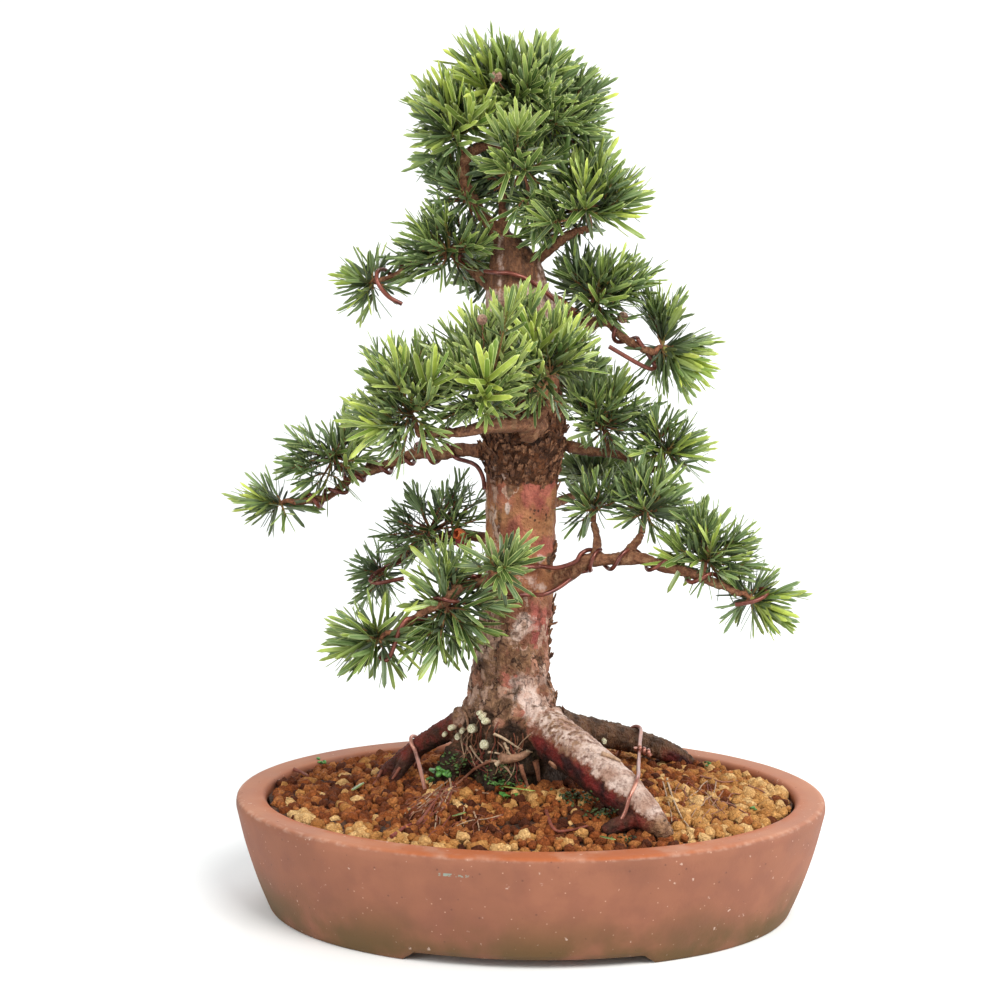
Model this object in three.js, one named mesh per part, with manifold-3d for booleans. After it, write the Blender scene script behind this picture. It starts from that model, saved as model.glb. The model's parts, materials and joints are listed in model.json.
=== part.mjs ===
// A Japanese yew bonsai in a shallow oval pot of unglazed clay. Millimetres, +Z up.
// The origin is under the middle of the pot, in the plane that its feet stand on.
// +X runs along the pot's length and +Y away from the front of the tree.
import * as THREE from "three";
import { mergeVertices } from "three/addons/utils/BufferGeometryUtils.js";
import Module from "manifold-3d";

const wasm = await Module();
wasm.setup();

// Driving dimensions of the pot
const rimHalfLong = 150;
const rimHalfDeep = 115;
const baseHalfLong = 134.5;
const baseHalfDeep = 103;
const potHeight = 58;
const widestHeight = 54;
const lipWidth = 15.6;
const wallThickness = 8;
const floorThickness = 8;
const footHeight = 5;
const footWidth = 12;
const footGapHalf = 61;
const drainRadius = 9;
const drainOffset = 62;
const screenSize = 30;
const screenThickness = 1;

// Driving dimensions of the soil and the tree
const soilEdgeHeight = 54;
const soilMound = 10;
const granuleRelief = 1.7;
const needleLength = 18;
const needleWidth = 2.5;
const needleThickness = 1.1;
const shootRadius = 0.85;
const stemRadius = 1.6;
const wireRadius = 1.15;
const tieRadius = 1.1;
const gap = 0.3; // between pieces that touch
const holeGap = gap + 0.05; // round the wood where it stands in the soil
const bendGap = 0.5; // between a wire and bark, at the corners of its bends
const needleClearance = 0.35; // between needles of neighbouring sprays
const goldenAngle = Math.PI * (3 - Math.sqrt(5));
const { degToRad } = THREE.MathUtils;

// A seeded random number from 0 to 1
function seeded(seed) {
  let state = seed >>> 0;
  return () => {
    state = (Math.imul(state, 1664525) + 1013904223) >>> 0;
    return state / 4294967296;
  };
}

const mix = (a, b, share) => a + (b - a) * share;
const vector = ([x, y, z]) => new THREE.Vector3(x, y, z);

// A vector at a tilt from an axis and a roll round it
function leaning(axis, tilt, roll) {
  const helper = Math.abs(axis.z) > 0.9 ? new THREE.Vector3(1, 0, 0) : new THREE.Vector3(0, 0, 1);
  const across = new THREE.Vector3().crossVectors(axis, helper).normalize();
  const up = new THREE.Vector3().crossVectors(across, axis);
  return axis
    .clone()
    .multiplyScalar(Math.cos(tilt))
    .addScaledVector(across, Math.sin(tilt) * Math.cos(roll))
    .addScaledVector(up, Math.sin(tilt) * Math.sin(roll));
}

// Solids and meshes

function solidOf(geometry) {
  const bare = geometry.index ? geometry.toNonIndexed() : geometry.clone();
  bare.deleteAttribute("normal");
  bare.deleteAttribute("uv");
  const merged = mergeVertices(bare, 1e-4);
  return new wasm.Manifold(
    new wasm.Mesh({
      numProp: 3,
      vertProperties: merged.attributes.position.array,
      triVerts: new Uint32Array(merged.index.array),
    }),
  );
}

function geometryOf(solid) {
  const mesh = solid.getMesh();
  const geometry = new THREE.BufferGeometry();
  geometry.setAttribute("position", new THREE.BufferAttribute(mesh.vertProperties.slice(), 3));
  geometry.setIndex(new THREE.BufferAttribute(mesh.triVerts.slice(), 1));
  return geometry;
}

function largestBody(solid) {
  return solid.decompose().reduce((best, body) => (body.volume() > best.volume() ? body : best));
}

// A closed skin over rings of points, with a fan to a middle point over each end
function skinOver(rings, firstMiddle, lastMiddle) {
  const sides = rings[0].length;
  const positions = rings.flat().flatMap((p) => [p.x, p.y, p.z]);
  const first = rings.length * sides;
  const last = first + 1;
  positions.push(firstMiddle.x, firstMiddle.y, firstMiddle.z);
  positions.push(lastMiddle.x, lastMiddle.y, lastMiddle.z);
  const faces = [];
  for (let j = 0; j < sides; j += 1) {
    const next = (j + 1) % sides;
    for (let i = 0; i + 1 < rings.length; i += 1) {
      const low = i * sides;
      const high = low + sides;
      faces.push(low + j, low + next, high + next, low + j, high + next, high + j);
    }
    const top = (rings.length - 1) * sides;
    faces.push(first, next, j, last, top + j, top + next);
  }
  const geometry = new THREE.BufferGeometry();
  geometry.setAttribute("position", new THREE.BufferAttribute(new Float32Array(positions), 3));
  geometry.setIndex(faces);
  return geometry;
}

// A limb or wire through points of [x, y, z, radius]. A share of 0 to 1 runs over the points
class Limb {
  constructor(points) {
    this.points = points;
    this.curve = new THREE.CatmullRomCurve3(points.map(vector), false, "centripetal");
  }

  radiusAt(share) {
    const place = share * (this.points.length - 1);
    const index = Math.min(Math.floor(place), this.points.length - 2);
    return mix(this.points[index][3], this.points[index + 1][3], place - index);
  }

  // The middle, the direction and two directions across, at each step along the limb
  frames(steps) {
    const frames = [];
    let across = leaning(this.curve.getTangent(0), Math.PI / 2, 0);
    for (let i = 0; i <= steps; i += 1) {
      const share = i / steps;
      const along = this.curve.getTangent(share);
      across = across.clone().addScaledVector(along, -across.dot(along)).normalize();
      const up = new THREE.Vector3().crossVectors(along, across);
      frames.push({ share, middle: this.curve.getPoint(share), along, across, up });
    }
    return frames;
  }

  solid(sides, steps, grow = 0) {
    const frames = this.frames(steps);
    frames[0].middle.addScaledVector(frames[0].along, -grow);
    frames[steps].middle.addScaledVector(frames[steps].along, grow);
    const rings = frames.map(({ share, middle, across, up }) => {
      const radius = this.radiusAt(share) + grow;
      const ring = [];
      for (let j = 0; j < sides; j += 1) {
        const angle = (2 * Math.PI * j) / sides;
        const point = middle.clone().addScaledVector(across, radius * Math.cos(angle));
        ring.push(point.addScaledVector(up, radius * Math.sin(angle)));
      }
      return ring;
    });
    return solidOf(skinOver(rings, frames[0].middle, frames[steps].middle));
  }
}

// The space that each piece of the tree takes, as rounded rods, so that what comes later
// can be bent clear of it
const taken = [];

function takeRod(owner, from, to, radius) {
  taken.push({ owner, from: from.clone(), to: to.clone(), radius });
}

function takeLimb(owner, limb, steps) {
  for (let i = 0; i < steps; i += 1) {
    const radius = Math.max(limb.radiusAt(i / steps), limb.radiusAt((i + 1) / steps));
    takeRod(owner, limb.curve.getPoint(i / steps), limb.curve.getPoint((i + 1) / steps), radius);
  }
}

// The least distance between the stretches a-b and c-d
function rodDistance(a, b, c, d) {
  const u = b.clone().sub(a);
  const v = d.clone().sub(c);
  const w = a.clone().sub(c);
  const uu = u.dot(u);
  const uv = u.dot(v);
  const vv = v.dot(v);
  const uw = u.dot(w);
  const vw = v.dot(w);
  const clamp = (value) => Math.min(1, Math.max(0, value));
  const spread = uu * vv - uv * uv;
  let s = spread > 1e-9 ? clamp((uv * vw - vv * uw) / spread) : 0;
  const t = clamp((uv * s + vw) / vv);
  s = clamp((uv * t - uw) / uu);
  return w.addScaledVector(u, s).addScaledVector(v, -t).length();
}

function isClear(from, to, radius, counts) {
  return taken.every(
    (rod) =>
      !counts(rod.owner) ||
      rodDistance(from, to, rod.from, rod.to) > radius + rod.radius + needleClearance,
  );
}

// Pot

// Corners of the section as [half length, half depth, height], from the underside's middle
// round the outside to the floor's middle
const lipInner = (inset) => [rimHalfLong - inset, rimHalfDeep - inset];
const potInside = [
  [...lipInner(lipWidth), potHeight - 1.6],
  [...lipInner(lipWidth), potHeight - 8],
  [...lipInner(lipWidth - 4.5), potHeight - 11],
  [baseHalfLong - wallThickness + 1.5, baseHalfDeep - wallThickness + 1.5, footHeight + 14],
  [baseHalfLong - wallThickness - 7, baseHalfDeep - wallThickness - 7, footHeight + floorThickness],
];
const potSection = [
  [0, 0, footHeight],
  [baseHalfLong - footWidth - 3, baseHalfDeep - footWidth - 3, footHeight],
  [baseHalfLong - footWidth, baseHalfDeep - footWidth, 0],
  [baseHalfLong - 1.5, baseHalfDeep - 1.5, 0],
  [baseHalfLong + 4.5, baseHalfDeep + 3.6, 14],
  [rimHalfLong, rimHalfDeep, widestHeight],
  [rimHalfLong - 2.4, rimHalfDeep - 2.4, potHeight],
  [...lipInner(lipWidth - 2), potHeight],
  ...potInside,
  [0, 0, footHeight + floorThickness],
];
const potSides = 36;

// A lathe of an oval section: each corner keeps its own half length and half depth
function ovalLathe(section, sides) {
  const profile = section.map(([long, , height]) => new THREE.Vector2(long, height));
  const geometry = new THREE.LatheGeometry(profile, sides);
  geometry.rotateX(Math.PI / 2);
  const places = geometry.attributes.position;
  for (let i = 0; i < places.count; i += 1) {
    const [long, deep] = section[i % section.length];
    if (long > 0) places.setY(i, (places.getY(i) * deep) / long);
  }
  return geometry;
}

function boxSolid(x, y, z, width, depth, height) {
  const geometry = new THREE.BoxGeometry(width, depth, height);
  geometry.translate(x, y, z);
  return solidOf(geometry);
}

// The space between the two feet, at the front and the back, with sloped ends
function footGapSolid() {
  const slope = 7;
  const steep = 0.55 * slope;
  const steepHeight = 0.7 * footHeight;
  const below = 2;
  const outline = new THREE.Shape();
  outline.moveTo(-footGapHalf - 1, -below);
  outline.lineTo(footGapHalf + 1, -below);
  outline.lineTo(footGapHalf - steep, steepHeight);
  outline.lineTo(footGapHalf - slope, footHeight);
  outline.lineTo(-footGapHalf + slope, footHeight);
  outline.lineTo(-footGapHalf + steep, steepHeight);
  outline.closePath();
  const length = 2 * rimHalfDeep;
  const geometry = new THREE.ExtrudeGeometry(outline, { depth: length, bevelEnabled: false });
  geometry.rotateX(Math.PI / 2);
  geometry.translate(0, length / 2, 0);
  return solidOf(geometry);
}

function potSolid() {
  let solid = solidOf(ovalLathe(potSection, potSides)).subtract(footGapSolid());
  const holeLength = 4 * footHeight;
  const holeSides = 14;
  for (const x of [-drainOffset, drainOffset]) {
    const hole = new THREE.CylinderGeometry(drainRadius, drainRadius, holeLength, holeSides);
    hole.rotateX(Math.PI / 2);
    hole.translate(x, 0, holeLength / 2);
    solid = solid.subtract(solidOf(hole));
  }
  return solid;
}

// A plastic mesh that keeps the soil in over a drainage hole
function screenSolid(x) {
  const holes = 2;
  const bar = 2.6;
  const pitch = (screenSize - bar) / holes;
  const side = pitch - bar;
  const z = footHeight + floorThickness + gap + screenThickness / 2;
  let solid = boxSolid(x, 0, z, screenSize, screenSize, screenThickness);
  for (let i = 0; i < holes; i += 1) {
    for (let j = 0; j < holes; j += 1) {
      const across = (i - (holes - 1) / 2) * pitch;
      const along = (j - (holes - 1) / 2) * pitch;
      solid = solid.subtract(boxSolid(x + across, along, z, side, side, 3 * screenThickness));
    }
  }
  return solid;
}

// Wood: trunk, surface roots and branches, which grew as one piece

// Rings of the trunk as [x, y, height, half width, half depth]
const trunkRings = [
  [-8, 2, 46, 24, 17],
  [-8, 1, 59, 27, 19],
  [-9, 0, 72, 26.5, 19],
  [-10, 0, 85, 25, 19],
  [-11, 2, 106, 22.4, 19],
  [-11, 3, 119, 19.3, 17.5],
  [-10, 4, 136, 17.2, 16.5],
  [-7, 5, 156, 17.2, 16.5],
  [-7, 5, 177, 16.9, 16.5],
  [-6, 5, 198, 17.4, 17],
  [-6, 5, 218, 18.1, 17.5],
  [-5, 5, 238, 19.3, 18.5],
  [-5, 5, 249, 18.9, 18.6],
  [-6, 4, 262, 18.4, 18],
  [-7, 3, 284, 18.4, 17.5],
  [-7, 2, 299, 18.3, 17],
  [-9, 0, 315, 15.1, 14.5],
  [-10, 0, 325, 13.1, 12.5],
  [-12, 0, 333, 9.9, 9.5],
  [-16, 0, 342, 4.9, 4.9],
];
const trunkSides = 12;

// How far the flutes of the root flare, the lumps of the collar and the slow waves of the
// bark stand out at a height and an angle, as a share of the radius
const flare = { from: 46, fade: 90, depth: 0.1, flutes: 3, turn: -0.8 };
const collar = { height: 246, reach: 16, depth: 0.05, lumps: 5 };
const wave = { depth: 0.015, sides: 2, length: 25 };

function trunkSwell(height, angle) {
  const inFlare = Math.max(0, 1 - (height - flare.from) / flare.fade);
  const flutes = flare.depth * inFlare * Math.cos(flare.flutes * angle + flare.turn);
  const inCollar = Math.max(0, 1 - Math.abs(height - collar.height) / collar.reach);
  const lumps = inCollar * collar.depth * (1 + Math.cos(collar.lumps * angle + height));
  return 1 + flutes + lumps + wave.depth * Math.cos(wave.sides * angle + height / wave.length);
}

function trunkPoint([x, y, height, halfWidth, halfDeep], angle, grow) {
  const swell = trunkSwell(height, angle);
  return new THREE.Vector3(
    x + (halfWidth * swell + grow) * Math.cos(angle),
    y + (halfDeep * swell + grow) * Math.sin(angle),
    height,
  );
}

function trunkRingAt(height) {
  const above = trunkRings.findIndex((ring) => ring[2] > height);
  const [low, high] = [trunkRings[above - 1], trunkRings[above]];
  const share = (height - low[2]) / (high[2] - low[2]);
  return low.map((value, i) => mix(value, high[i], share));
}

function trunkSolid(grow) {
  const rings = trunkRings.map((ring) => {
    const points = [];
    for (let j = 0; j < trunkSides; j += 1) {
      points.push(trunkPoint(ring, (2 * Math.PI * j) / trunkSides, grow));
    }
    return points;
  });
  const first = trunkRings[0];
  const last = trunkRings[trunkRings.length - 1];
  const foot = new THREE.Vector3(first[0], first[1], first[2] - grow);
  const roundTop = 2;
  const top = new THREE.Vector3(last[0], last[1], last[2] + roundTop + grow);
  for (const point of rings[0]) point.z -= grow;
  return solidOf(skinOver(rings, foot, top));
}

// Limbs of the wood as points of [x, y, z, radius], each starting inside what it grew from
const branches = {
  crownLeader: [
    [-15, 0, 334, 4.4], [-20, 0, 342, 3.8], [-28, 0, 352, 3.4], [-35, 0, 364, 3.4],
    [-36, 0, 375, 3.2], [-31, -2, 382, 2.9], [-21, -5, 385, 2.7], [-9, -8, 383, 2.4],
    [0, -10, 380, 2.2],
  ],
  crownMiddle: [
    [-15, 1, 336, 3], [-17, 4, 355, 2.3], [-16, 4, 374, 2.1], [-14, 2, 388, 1.9],
    [-12, 1, 398, 1.7],
  ],
  crownRight: [
    [-6, 0, 325, 3.6], [8, -4, 335, 2.6], [17, -8, 342, 2.3], [27, -9.5, 345, 2],
  ],
  upperLeft: [
    [-14, 0, 314, 3.8], [-24, 0, 317, 3], [-34, 4, 325, 2.3], [-41, 5, 330, 2.1],
    [-49, 6, 333, 1.9], [-58, 6, 328, 1.8], [-70, 5, 320, 1.6], [-79, 4, 317, 1.4],
  ],
  upperRight: [
    [-2, 0, 308, 6], [10, 0, 306, 5.4], [17, 0, 302, 4], [25, 2, 298, 3.2], [35, 4, 298, 2.7],
    [43, 4, 291, 2.3], [51, 2, 286, 2.1], [60, 0, 283, 1.8],
  ],
  padBranch: [
    [0, -4, 249, 6], [1, -20, 249, 4.9], [-8, -32, 251, 4.1], [-22, -42, 251, 3.6],
    [-35, -50, 249, 2.9], [-48, -54, 249, 2.4], [-56, -55, 248, 2.1],
  ],
  padFork: [[-2, -24, 250, 2.6], [4, -30, 256, 2.2], [8, -33, 264, 1.8]],
  leftMiddle: [
    [-12, 6, 233, 5], [-24, 8, 232, 4.1], [-37, 12, 232, 3.8], [-47, 14, 230, 3.5],
    [-59, 14, 230, 3.3], [-67, 14, 227, 3], [-77, 12, 223, 2.8], [-88, 10, 220, 2.8],
    [-95, 8, 215, 2.3], [-104, 5, 208, 2.1], [-113, 2, 207, 1.9], [-121, 0, 206, 1.7],
  ],
  leftMiddleFork: [[-84, 11, 221, 2.4], [-93, 13, 221, 2.1], [-101, 16, 222, 1.8]],
  rightMiddle: [
    [4, 5, 237, 4.6], [14, 6, 236, 3.5], [27, 12, 232, 2.6], [37, 14, 231, 2.3],
    [46, 14, 229, 2.1], [51, 14, 224, 2], [58, 12, 223, 1.9], [65, 10, 225, 1.7],
  ],
  rightLow: [
    [-1, 1, 165, 6], [8, -2, 168, 5], [18, -6, 173, 4.3], [27, -10, 180, 3.7],
    [36, -12, 181, 3.5], [46, -14, 182, 3.2], [56, -16, 182, 3], [64, -18, 179, 3],
    [75, -20, 177, 2.7], [84, -22, 174, 2.5], [93, -24, 171, 2.1], [102, -25, 167, 1.8],
  ],
  rightLowForkNear: [[31, -11, 181, 2.6], [32, -6, 190, 2.1], [30, -1, 198, 1.8]],
  rightLowForkFar: [[44, -13.5, 182, 2.6], [50, -14, 189, 2.2], [54, -14, 195, 1.8]],
  leftLowBack: [
    [-13, 9, 186, 4], [-24, 17, 186, 3], [-38, 28, 186, 2.6], [-53, 38, 181, 2.3],
    [-66, 43, 173, 2], [-74, 45, 168, 1.7],
  ],
  leftLowFront: [
    [-12, -1, 171, 4.6], [-21, -11, 170, 3.5], [-29, -22, 170, 3], [-37, -32, 168, 2.7],
    [-44, -38, 163, 2.4], [-52, -42, 160, 2.2], [-60, -45, 155, 2], [-68, -47, 149, 1.7],
  ],
  rosetteTwig: [[-28, -20, 170, 2.4], [-26, -33, 173, 1.9], [-21, -44, 177, 1.6]],
  backHigh: [[-9, 6, 296, 5], [-10, 22, 300, 3.4], [-15, 36, 304, 2.4], [-20, 46, 306, 1.8]],
  backMiddle: [[-4, 10, 242, 5], [0, 32, 246, 3.4], [8, 46, 249, 2.4], [13, 55, 251, 1.8]],
  backLow: [[-5, 10, 197, 5], [6, 32, 200, 3.2], [18, 46, 203, 2.4], [26, 54, 205, 1.8]],
  arilTwig: [[-28, 20, 186, 1.9], [-32, 17, 187, 1.5], [-35, 14.5, 188, 1.2]],
  cutStub: [[-1, -4, 254, 5.2], [3, -17, 258, 4.6]],
};
const roots = {
  left: [
    [-16, 0, 98, 12], [-27, 2, 95, 9.6], [-39, 6, 90, 6.8], [-49, 10, 84, 5.3],
    [-61, 14, 75, 4.7], [-71, 16, 66, 4.1], [-80, 18, 57, 3.2],
  ],
  leftToe: [[-58, 13, 77, 4], [-66, 8, 68, 3.4], [-71, 3, 59, 2.6]],
  rightFront: [
    [-6, 0, 98, 13.5], [10, -14, 91, 12.4], [29, -34, 82, 11.4], [46, -52, 72, 10.2],
    [58, -66, 63, 8.4], [66, -75, 56, 5.4],
  ],
  rightFrontStub: [[52, -62, 66, 5], [43, -68, 63, 4], [36, -70, 59, 3.2]],
  rightBack: [
    [-2, 8, 95, 11], [20, 24, 86, 7.8], [42, 40, 78, 6.8], [62, 52, 70, 6.2],
    [76, 60, 63, 5.2], [86, 65, 56, 3.4],
  ],
  frontToe: [[-14, -8, 90, 8], [-18, -20, 76, 6], [-20, -27, 62, 4.4]],
};
const branchSides = 5;
const forkSides = 4;
const forkRadius = 3; // a limb that starts thinner than this is a fork
const rootSides = 6;
const branchLimbs = Object.entries(branches).map(([name, points]) => [name, new Limb(points)]);
const rootLimbs = Object.entries(roots).map(([name, points]) => [name, new Limb(points)]);
const branchNamed = Object.fromEntries(branchLimbs);
const rootNamed = Object.fromEntries(rootLimbs);

function woodSolid(grow) {
  let solid = trunkSolid(grow);
  for (const [, limb] of branchLimbs) {
    const sides = limb.points[0][3] < forkRadius ? forkSides : branchSides;
    solid = solid.add(limb.solid(sides, limb.points.length - 1, grow));
  }
  for (const [, limb] of rootLimbs) {
    solid = solid.add(limb.solid(rootSides, limb.points.length - 1, grow));
  }
  return solid;
}

function takeWood() {
  const barkReach = 1.02;
  const rods = 8;
  for (let i = 0; i + 1 < trunkRings.length; i += 1) {
    const [x, y, z, halfWidth] = trunkRings[i];
    const next = trunkRings[i + 1];
    const radius = Math.max(halfWidth, next[3]) * barkReach;
    takeRod("wood", new THREE.Vector3(x, y, z), new THREE.Vector3(next[0], next[1], next[2]), radius);
  }
  for (const [, limb] of [...branchLimbs, ...rootLimbs]) takeLimb("wood", limb, rods);
}

// Training wires and tie-down wires

const turnSteps = 5;

// A wire's points: those that lead up to a branch, then its coil between two shares of the
// branch, clear of the bark, and a free end of the given length that stands off
function coiledWire(lead, limb, from, to, turns, freeEnd) {
  const steps = Math.round(Math.abs(turns) * turnSteps);
  const fine = 60;
  const frames = limb.frames(fine);
  const before = vector(lead[lead.length - 1]);
  const points = [...lead];
  let phase = 0;
  let outward = null;
  for (let i = 0; i <= steps; i += 1) {
    const share = mix(from, to, i / steps);
    const { across, up } = frames[Math.round(share * fine)];
    const middle = limb.curve.getPoint(share);
    if (i === 0) {
      const toward = before.clone().sub(middle);
      phase = Math.atan2(toward.dot(up), toward.dot(across));
    }
    const angle = phase + (2 * Math.PI * turns * i) / steps;
    const chord = Math.cos(Math.PI / turnSteps);
    const reach = (limb.radiusAt(share) + bendGap) / chord + wireRadius;
    outward = across.clone().multiplyScalar(Math.cos(angle)).addScaledVector(up, Math.sin(angle));
    const point = middle.addScaledVector(outward, reach);
    points.push([point.x, point.y, point.z]);
  }
  if (freeEnd > 0) {
    const last = vector(points[points.length - 1]);
    const heading = last.clone().sub(vector(points[points.length - 2])).normalize();
    const standOff = 0.45 * freeEnd;
    for (const share of [0.5, 1]) {
      const end = last.clone().addScaledVector(heading, freeEnd * share);
      end.addScaledVector(outward, standOff * share);
      points.push([end.x, end.y, end.z]);
    }
  }
  return points;
}

// A point of a wire that lies against the trunk, at an angle from +X in degrees
function onTrunk(height, degrees) {
  const angle = degToRad(degrees);
  const point = trunkPoint(trunkRingAt(height), angle, wireRadius + 2.1 * bendGap);
  return [point.x, point.y, point.z];
}

// Points of a wire that passes over a limb at a share of its length, at angles in degrees: 0
// is the limb's right side, seen along it, 90 its top and 180 its left side
function overLimb(limb, share, degrees, radius) {
  const middle = limb.curve.getPoint(share);
  const along = limb.curve.getTangent(share);
  const right = new THREE.Vector3(along.y, -along.x, 0).normalize();
  const lift = new THREE.Vector3().crossVectors(right, along);
  const halfStep = degToRad(Math.abs(degrees[1] - degrees[0]) / 2);
  const reach = (limb.radiusAt(share) + 1.2 * bendGap) / Math.cos(halfStep) + radius;
  return degrees.map((degree) => {
    const angle = degToRad(degree);
    const point = middle.clone().addScaledVector(right, reach * Math.cos(angle));
    point.addScaledVector(lift, reach * Math.sin(angle));
    return [point.x, point.y, point.z];
  });
}

const { upperRight, upperLeft, leftMiddle, rightLow, leftLowFront, leftLowBack } = branchNamed;
const wires = {
  wire_upper_trunk: coiledWire(
    [
      onTrunk(323, 196), onTrunk(323, 220), onTrunk(323, 245), onTrunk(322, 270),
      onTrunk(319, 295), onTrunk(314, 318), [15, -9, 305],
    ],
    upperRight, 0.4, 0.9, 2.5, 9,
  ),
  wire_upper_left: coiledWire([[-36, -2, 326]], upperLeft, 0.36, 0.86, 2.85, 10),
  wire_left_middle: coiledWire(
    [onTrunk(214, 200), onTrunk(220, 192), [-29, 0, 226]], leftMiddle, 0.2, 0.93, 6.5, 9,
  ),
  wire_right_low_upper: coiledWire(
    [onTrunk(177, 262), onTrunk(177, 284), onTrunk(177, 304), [12, -14, 177]],
    rightLow, 0.25, 0.93, -5.5, 8,
  ),
  wire_right_low_lower: coiledWire(
    [onTrunk(163, 252), onTrunk(163, 274), onTrunk(163, 296), [8, -13, 162]],
    rightLow, 0.13, 0.22, 0.7, 0,
  ),
  wire_left_low_front: coiledWire([[-26, -25, 176]], leftLowFront, 0.28, 0.93, 2.7, 9),
  wire_left_low_back: coiledWire([[-40, 24, 182]], leftLowBack, 0.42, 0.92, 3.2, 9),
};
const tieWires = {
  tie_wire_left: [
    [-63, 28, 55], ...overLimb(rootNamed.left, 0.62, [0, 45, 90, 135, 180], tieRadius),
    [-57, 0, 67], [-54, -8, 57],
  ],
  tie_wire_right: [
    [49, 62, 55], ...overLimb(rootNamed.rightBack, 0.55, [180, 135, 90, 45, 0], tieRadius),
    [55, 22, 70], [55, 0, 70], [57, -26, 69],
    ...overLimb(rootNamed.rightFront, 0.66, [180, 140, 100, 60, 20], tieRadius),
    [42, -73, 66], [41, -77, 56],
  ],
};

const wireSides = 4;
const tieSides = 5;
const tieHoleSides = 6;

function wireSolid(points, radius, sides) {
  const limb = new Limb(points.map(([x, y, z]) => [x, y, z, radius]));
  return limb.solid(sides, points.length - 1);
}

// Soil, with relief as coarse as its larger granules and plain holes for what stands in it

const soilSides = 24;
const soilRings = [1, 0.91, 0.81, 0.7, 0.58, 0.45, 0.25];
const edgeRelief = 0.6;
const besidePot = 0.6; // between the soil's faceted side and the pot's wall

function soilHeight(share) {
  return soilEdgeHeight + soilMound * Math.cos((Math.PI / 2) * share) ** 1.3;
}

function soilGeometry() {
  const draw = seeded(41);
  const [edgeLong, edgeDeep] = potInside[1];
  const rings = [];
  const ovalRing = (halfLong, halfDeep, heightOf) => {
    const ring = [];
    for (let j = 0; j < soilSides; j += 1) {
      const angle = (2 * Math.PI * j) / soilSides;
      ring.push(
        new THREE.Vector3(halfLong * Math.cos(angle), halfDeep * Math.sin(angle), heightOf()),
      );
    }
    return ring;
  };
  for (const [long, deep, height] of [...potInside].reverse().slice(0, 4)) {
    const raised = Math.max(height, footHeight + floorThickness + gap);
    rings.push(ovalRing(long - besidePot, deep - besidePot, () => raised));
  }
  for (const share of soilRings) {
    const relief = share < 1 ? granuleRelief : edgeRelief;
    const height = () => soilHeight(share) + relief * (2 * draw() - 1);
    const long = (edgeLong - besidePot) * share;
    const deep = (edgeDeep - besidePot) * share;
    rings.push(ovalRing(long, deep, height));
  }
  const under = new THREE.Vector3(0, 0, footHeight + floorThickness + gap);
  const top = new THREE.Vector3(0, 0, soilHeight(0));
  return skinOver(rings, under, top);
}

function soilSolid(grownWood) {
  let solid = solidOf(soilGeometry()).subtract(grownWood);
  for (const weed of Object.values(weeds)) {
    solid = solid.subtract(weedStem(weed).solid(weedStemSides, 1, gap));
  }
  for (const points of Object.values(tieWires)) {
    solid = solid.subtract(wireSolid(points, tieRadius + gap, tieHoleSides));
  }
  const side = screenSize + 2 * gap;
  for (const x of [-drainOffset, drainOffset]) {
    const height = 2 * (screenThickness + 2 * gap);
    solid = solid.subtract(boxSolid(x, 0, footHeight + floorThickness, side, side, height));
  }
  return largestBody(solid);
}

// Small weeds that came up in the soil: a short stem and round leaves

const weedStemSides = 4;
const leafLift = 0.35; // radians above level
const weeds = {
  weed_left: { place: [-47, 4, 63], leaves: 3, leafRadius: 3.4 },
  weed_front: { place: [-11, -34, 62], leaves: 3, leafRadius: 3 },
};

function weedStem({ place: [x, y, z] }) {
  return new Limb([[x, y, z - 4, 0.8], [x, y, z + 3.2, 0.7]]);
}

function weedSolid(weed) {
  let solid = weedStem(weed).solid(weedStemSides, 1);
  const [x, y, z] = weed.place;
  for (let i = 0; i < weed.leaves; i += 1) {
    const leaf = new THREE.SphereGeometry(1, 6, 2);
    leaf.rotateX(Math.PI / 2);
    leaf.scale(weed.leafRadius, weed.leafRadius * 0.8, 0.6);
    leaf.translate(weed.leafRadius * 0.95, 0, 0);
    leaf.rotateY(-leafLift);
    leaf.rotateZ((2 * Math.PI * i) / weed.leaves + 0.4);
    leaf.translate(x, y, z + 2.4 + 0.25 * i);
    solid = solid.add(solidOf(leaf));
  }
  return solid;
}

// Buds and the aril

// Round resting buds, each at the end of a twig of its spray
const buds = {
  bud_crown: { spray: "spray_crown_top", place: [-20, -20, 417], radius: 3 },
  bud_upper_right: { spray: "spray_upper_right", place: [43, -5, 301], radius: 3 },
  bud_pad_high: { spray: "spray_pad_middle", place: [-14, -60, 312], radius: 2.7 },
  bud_pad_low: { spray: "spray_pad_middle", place: [-25, -64, 304], radius: 2.7 },
};
const budTwigRadius = 0.8;

function budSolid({ place, radius }) {
  const geometry = new THREE.SphereGeometry(radius, 7, 5);
  geometry.rotateX(Math.PI / 2);
  geometry.translate(...place);
  return solidOf(geometry);
}

// The dried red cup that held a seed, open at its mouth, at the end of its twig
const aril = { radius: 3.2, wall: 1, height: 5 };
const arilAway = branchNamed.arilTwig.curve.getTangent(1);
const arilPlace = branchNamed.arilTwig.curve.getPoint(1);
arilPlace.addScaledVector(arilAway, aril.height / 2 + gap);

function arilSolid() {
  const { radius, wall, height } = aril;
  const section = [
    [0, -height / 2], [radius * 0.7, -height * 0.4], [radius, 0], [radius * 0.85, height / 2],
    [radius * 0.85 - wall, height / 2], [radius - wall, 0], [0, -height / 2 + wall],
  ];
  const profile = section.map(([reach, along]) => new THREE.Vector2(reach, along));
  const geometry = new THREE.LatheGeometry(profile, 8);
  const turn = new THREE.Quaternion().setFromUnitVectors(new THREE.Vector3(0, 1, 0), arilAway);
  geometry.applyQuaternion(turn);
  geometry.translate(arilPlace.x, arilPlace.y, arilPlace.z);
  return solidOf(geometry);
}

// Needles, shoots and sprays

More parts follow.
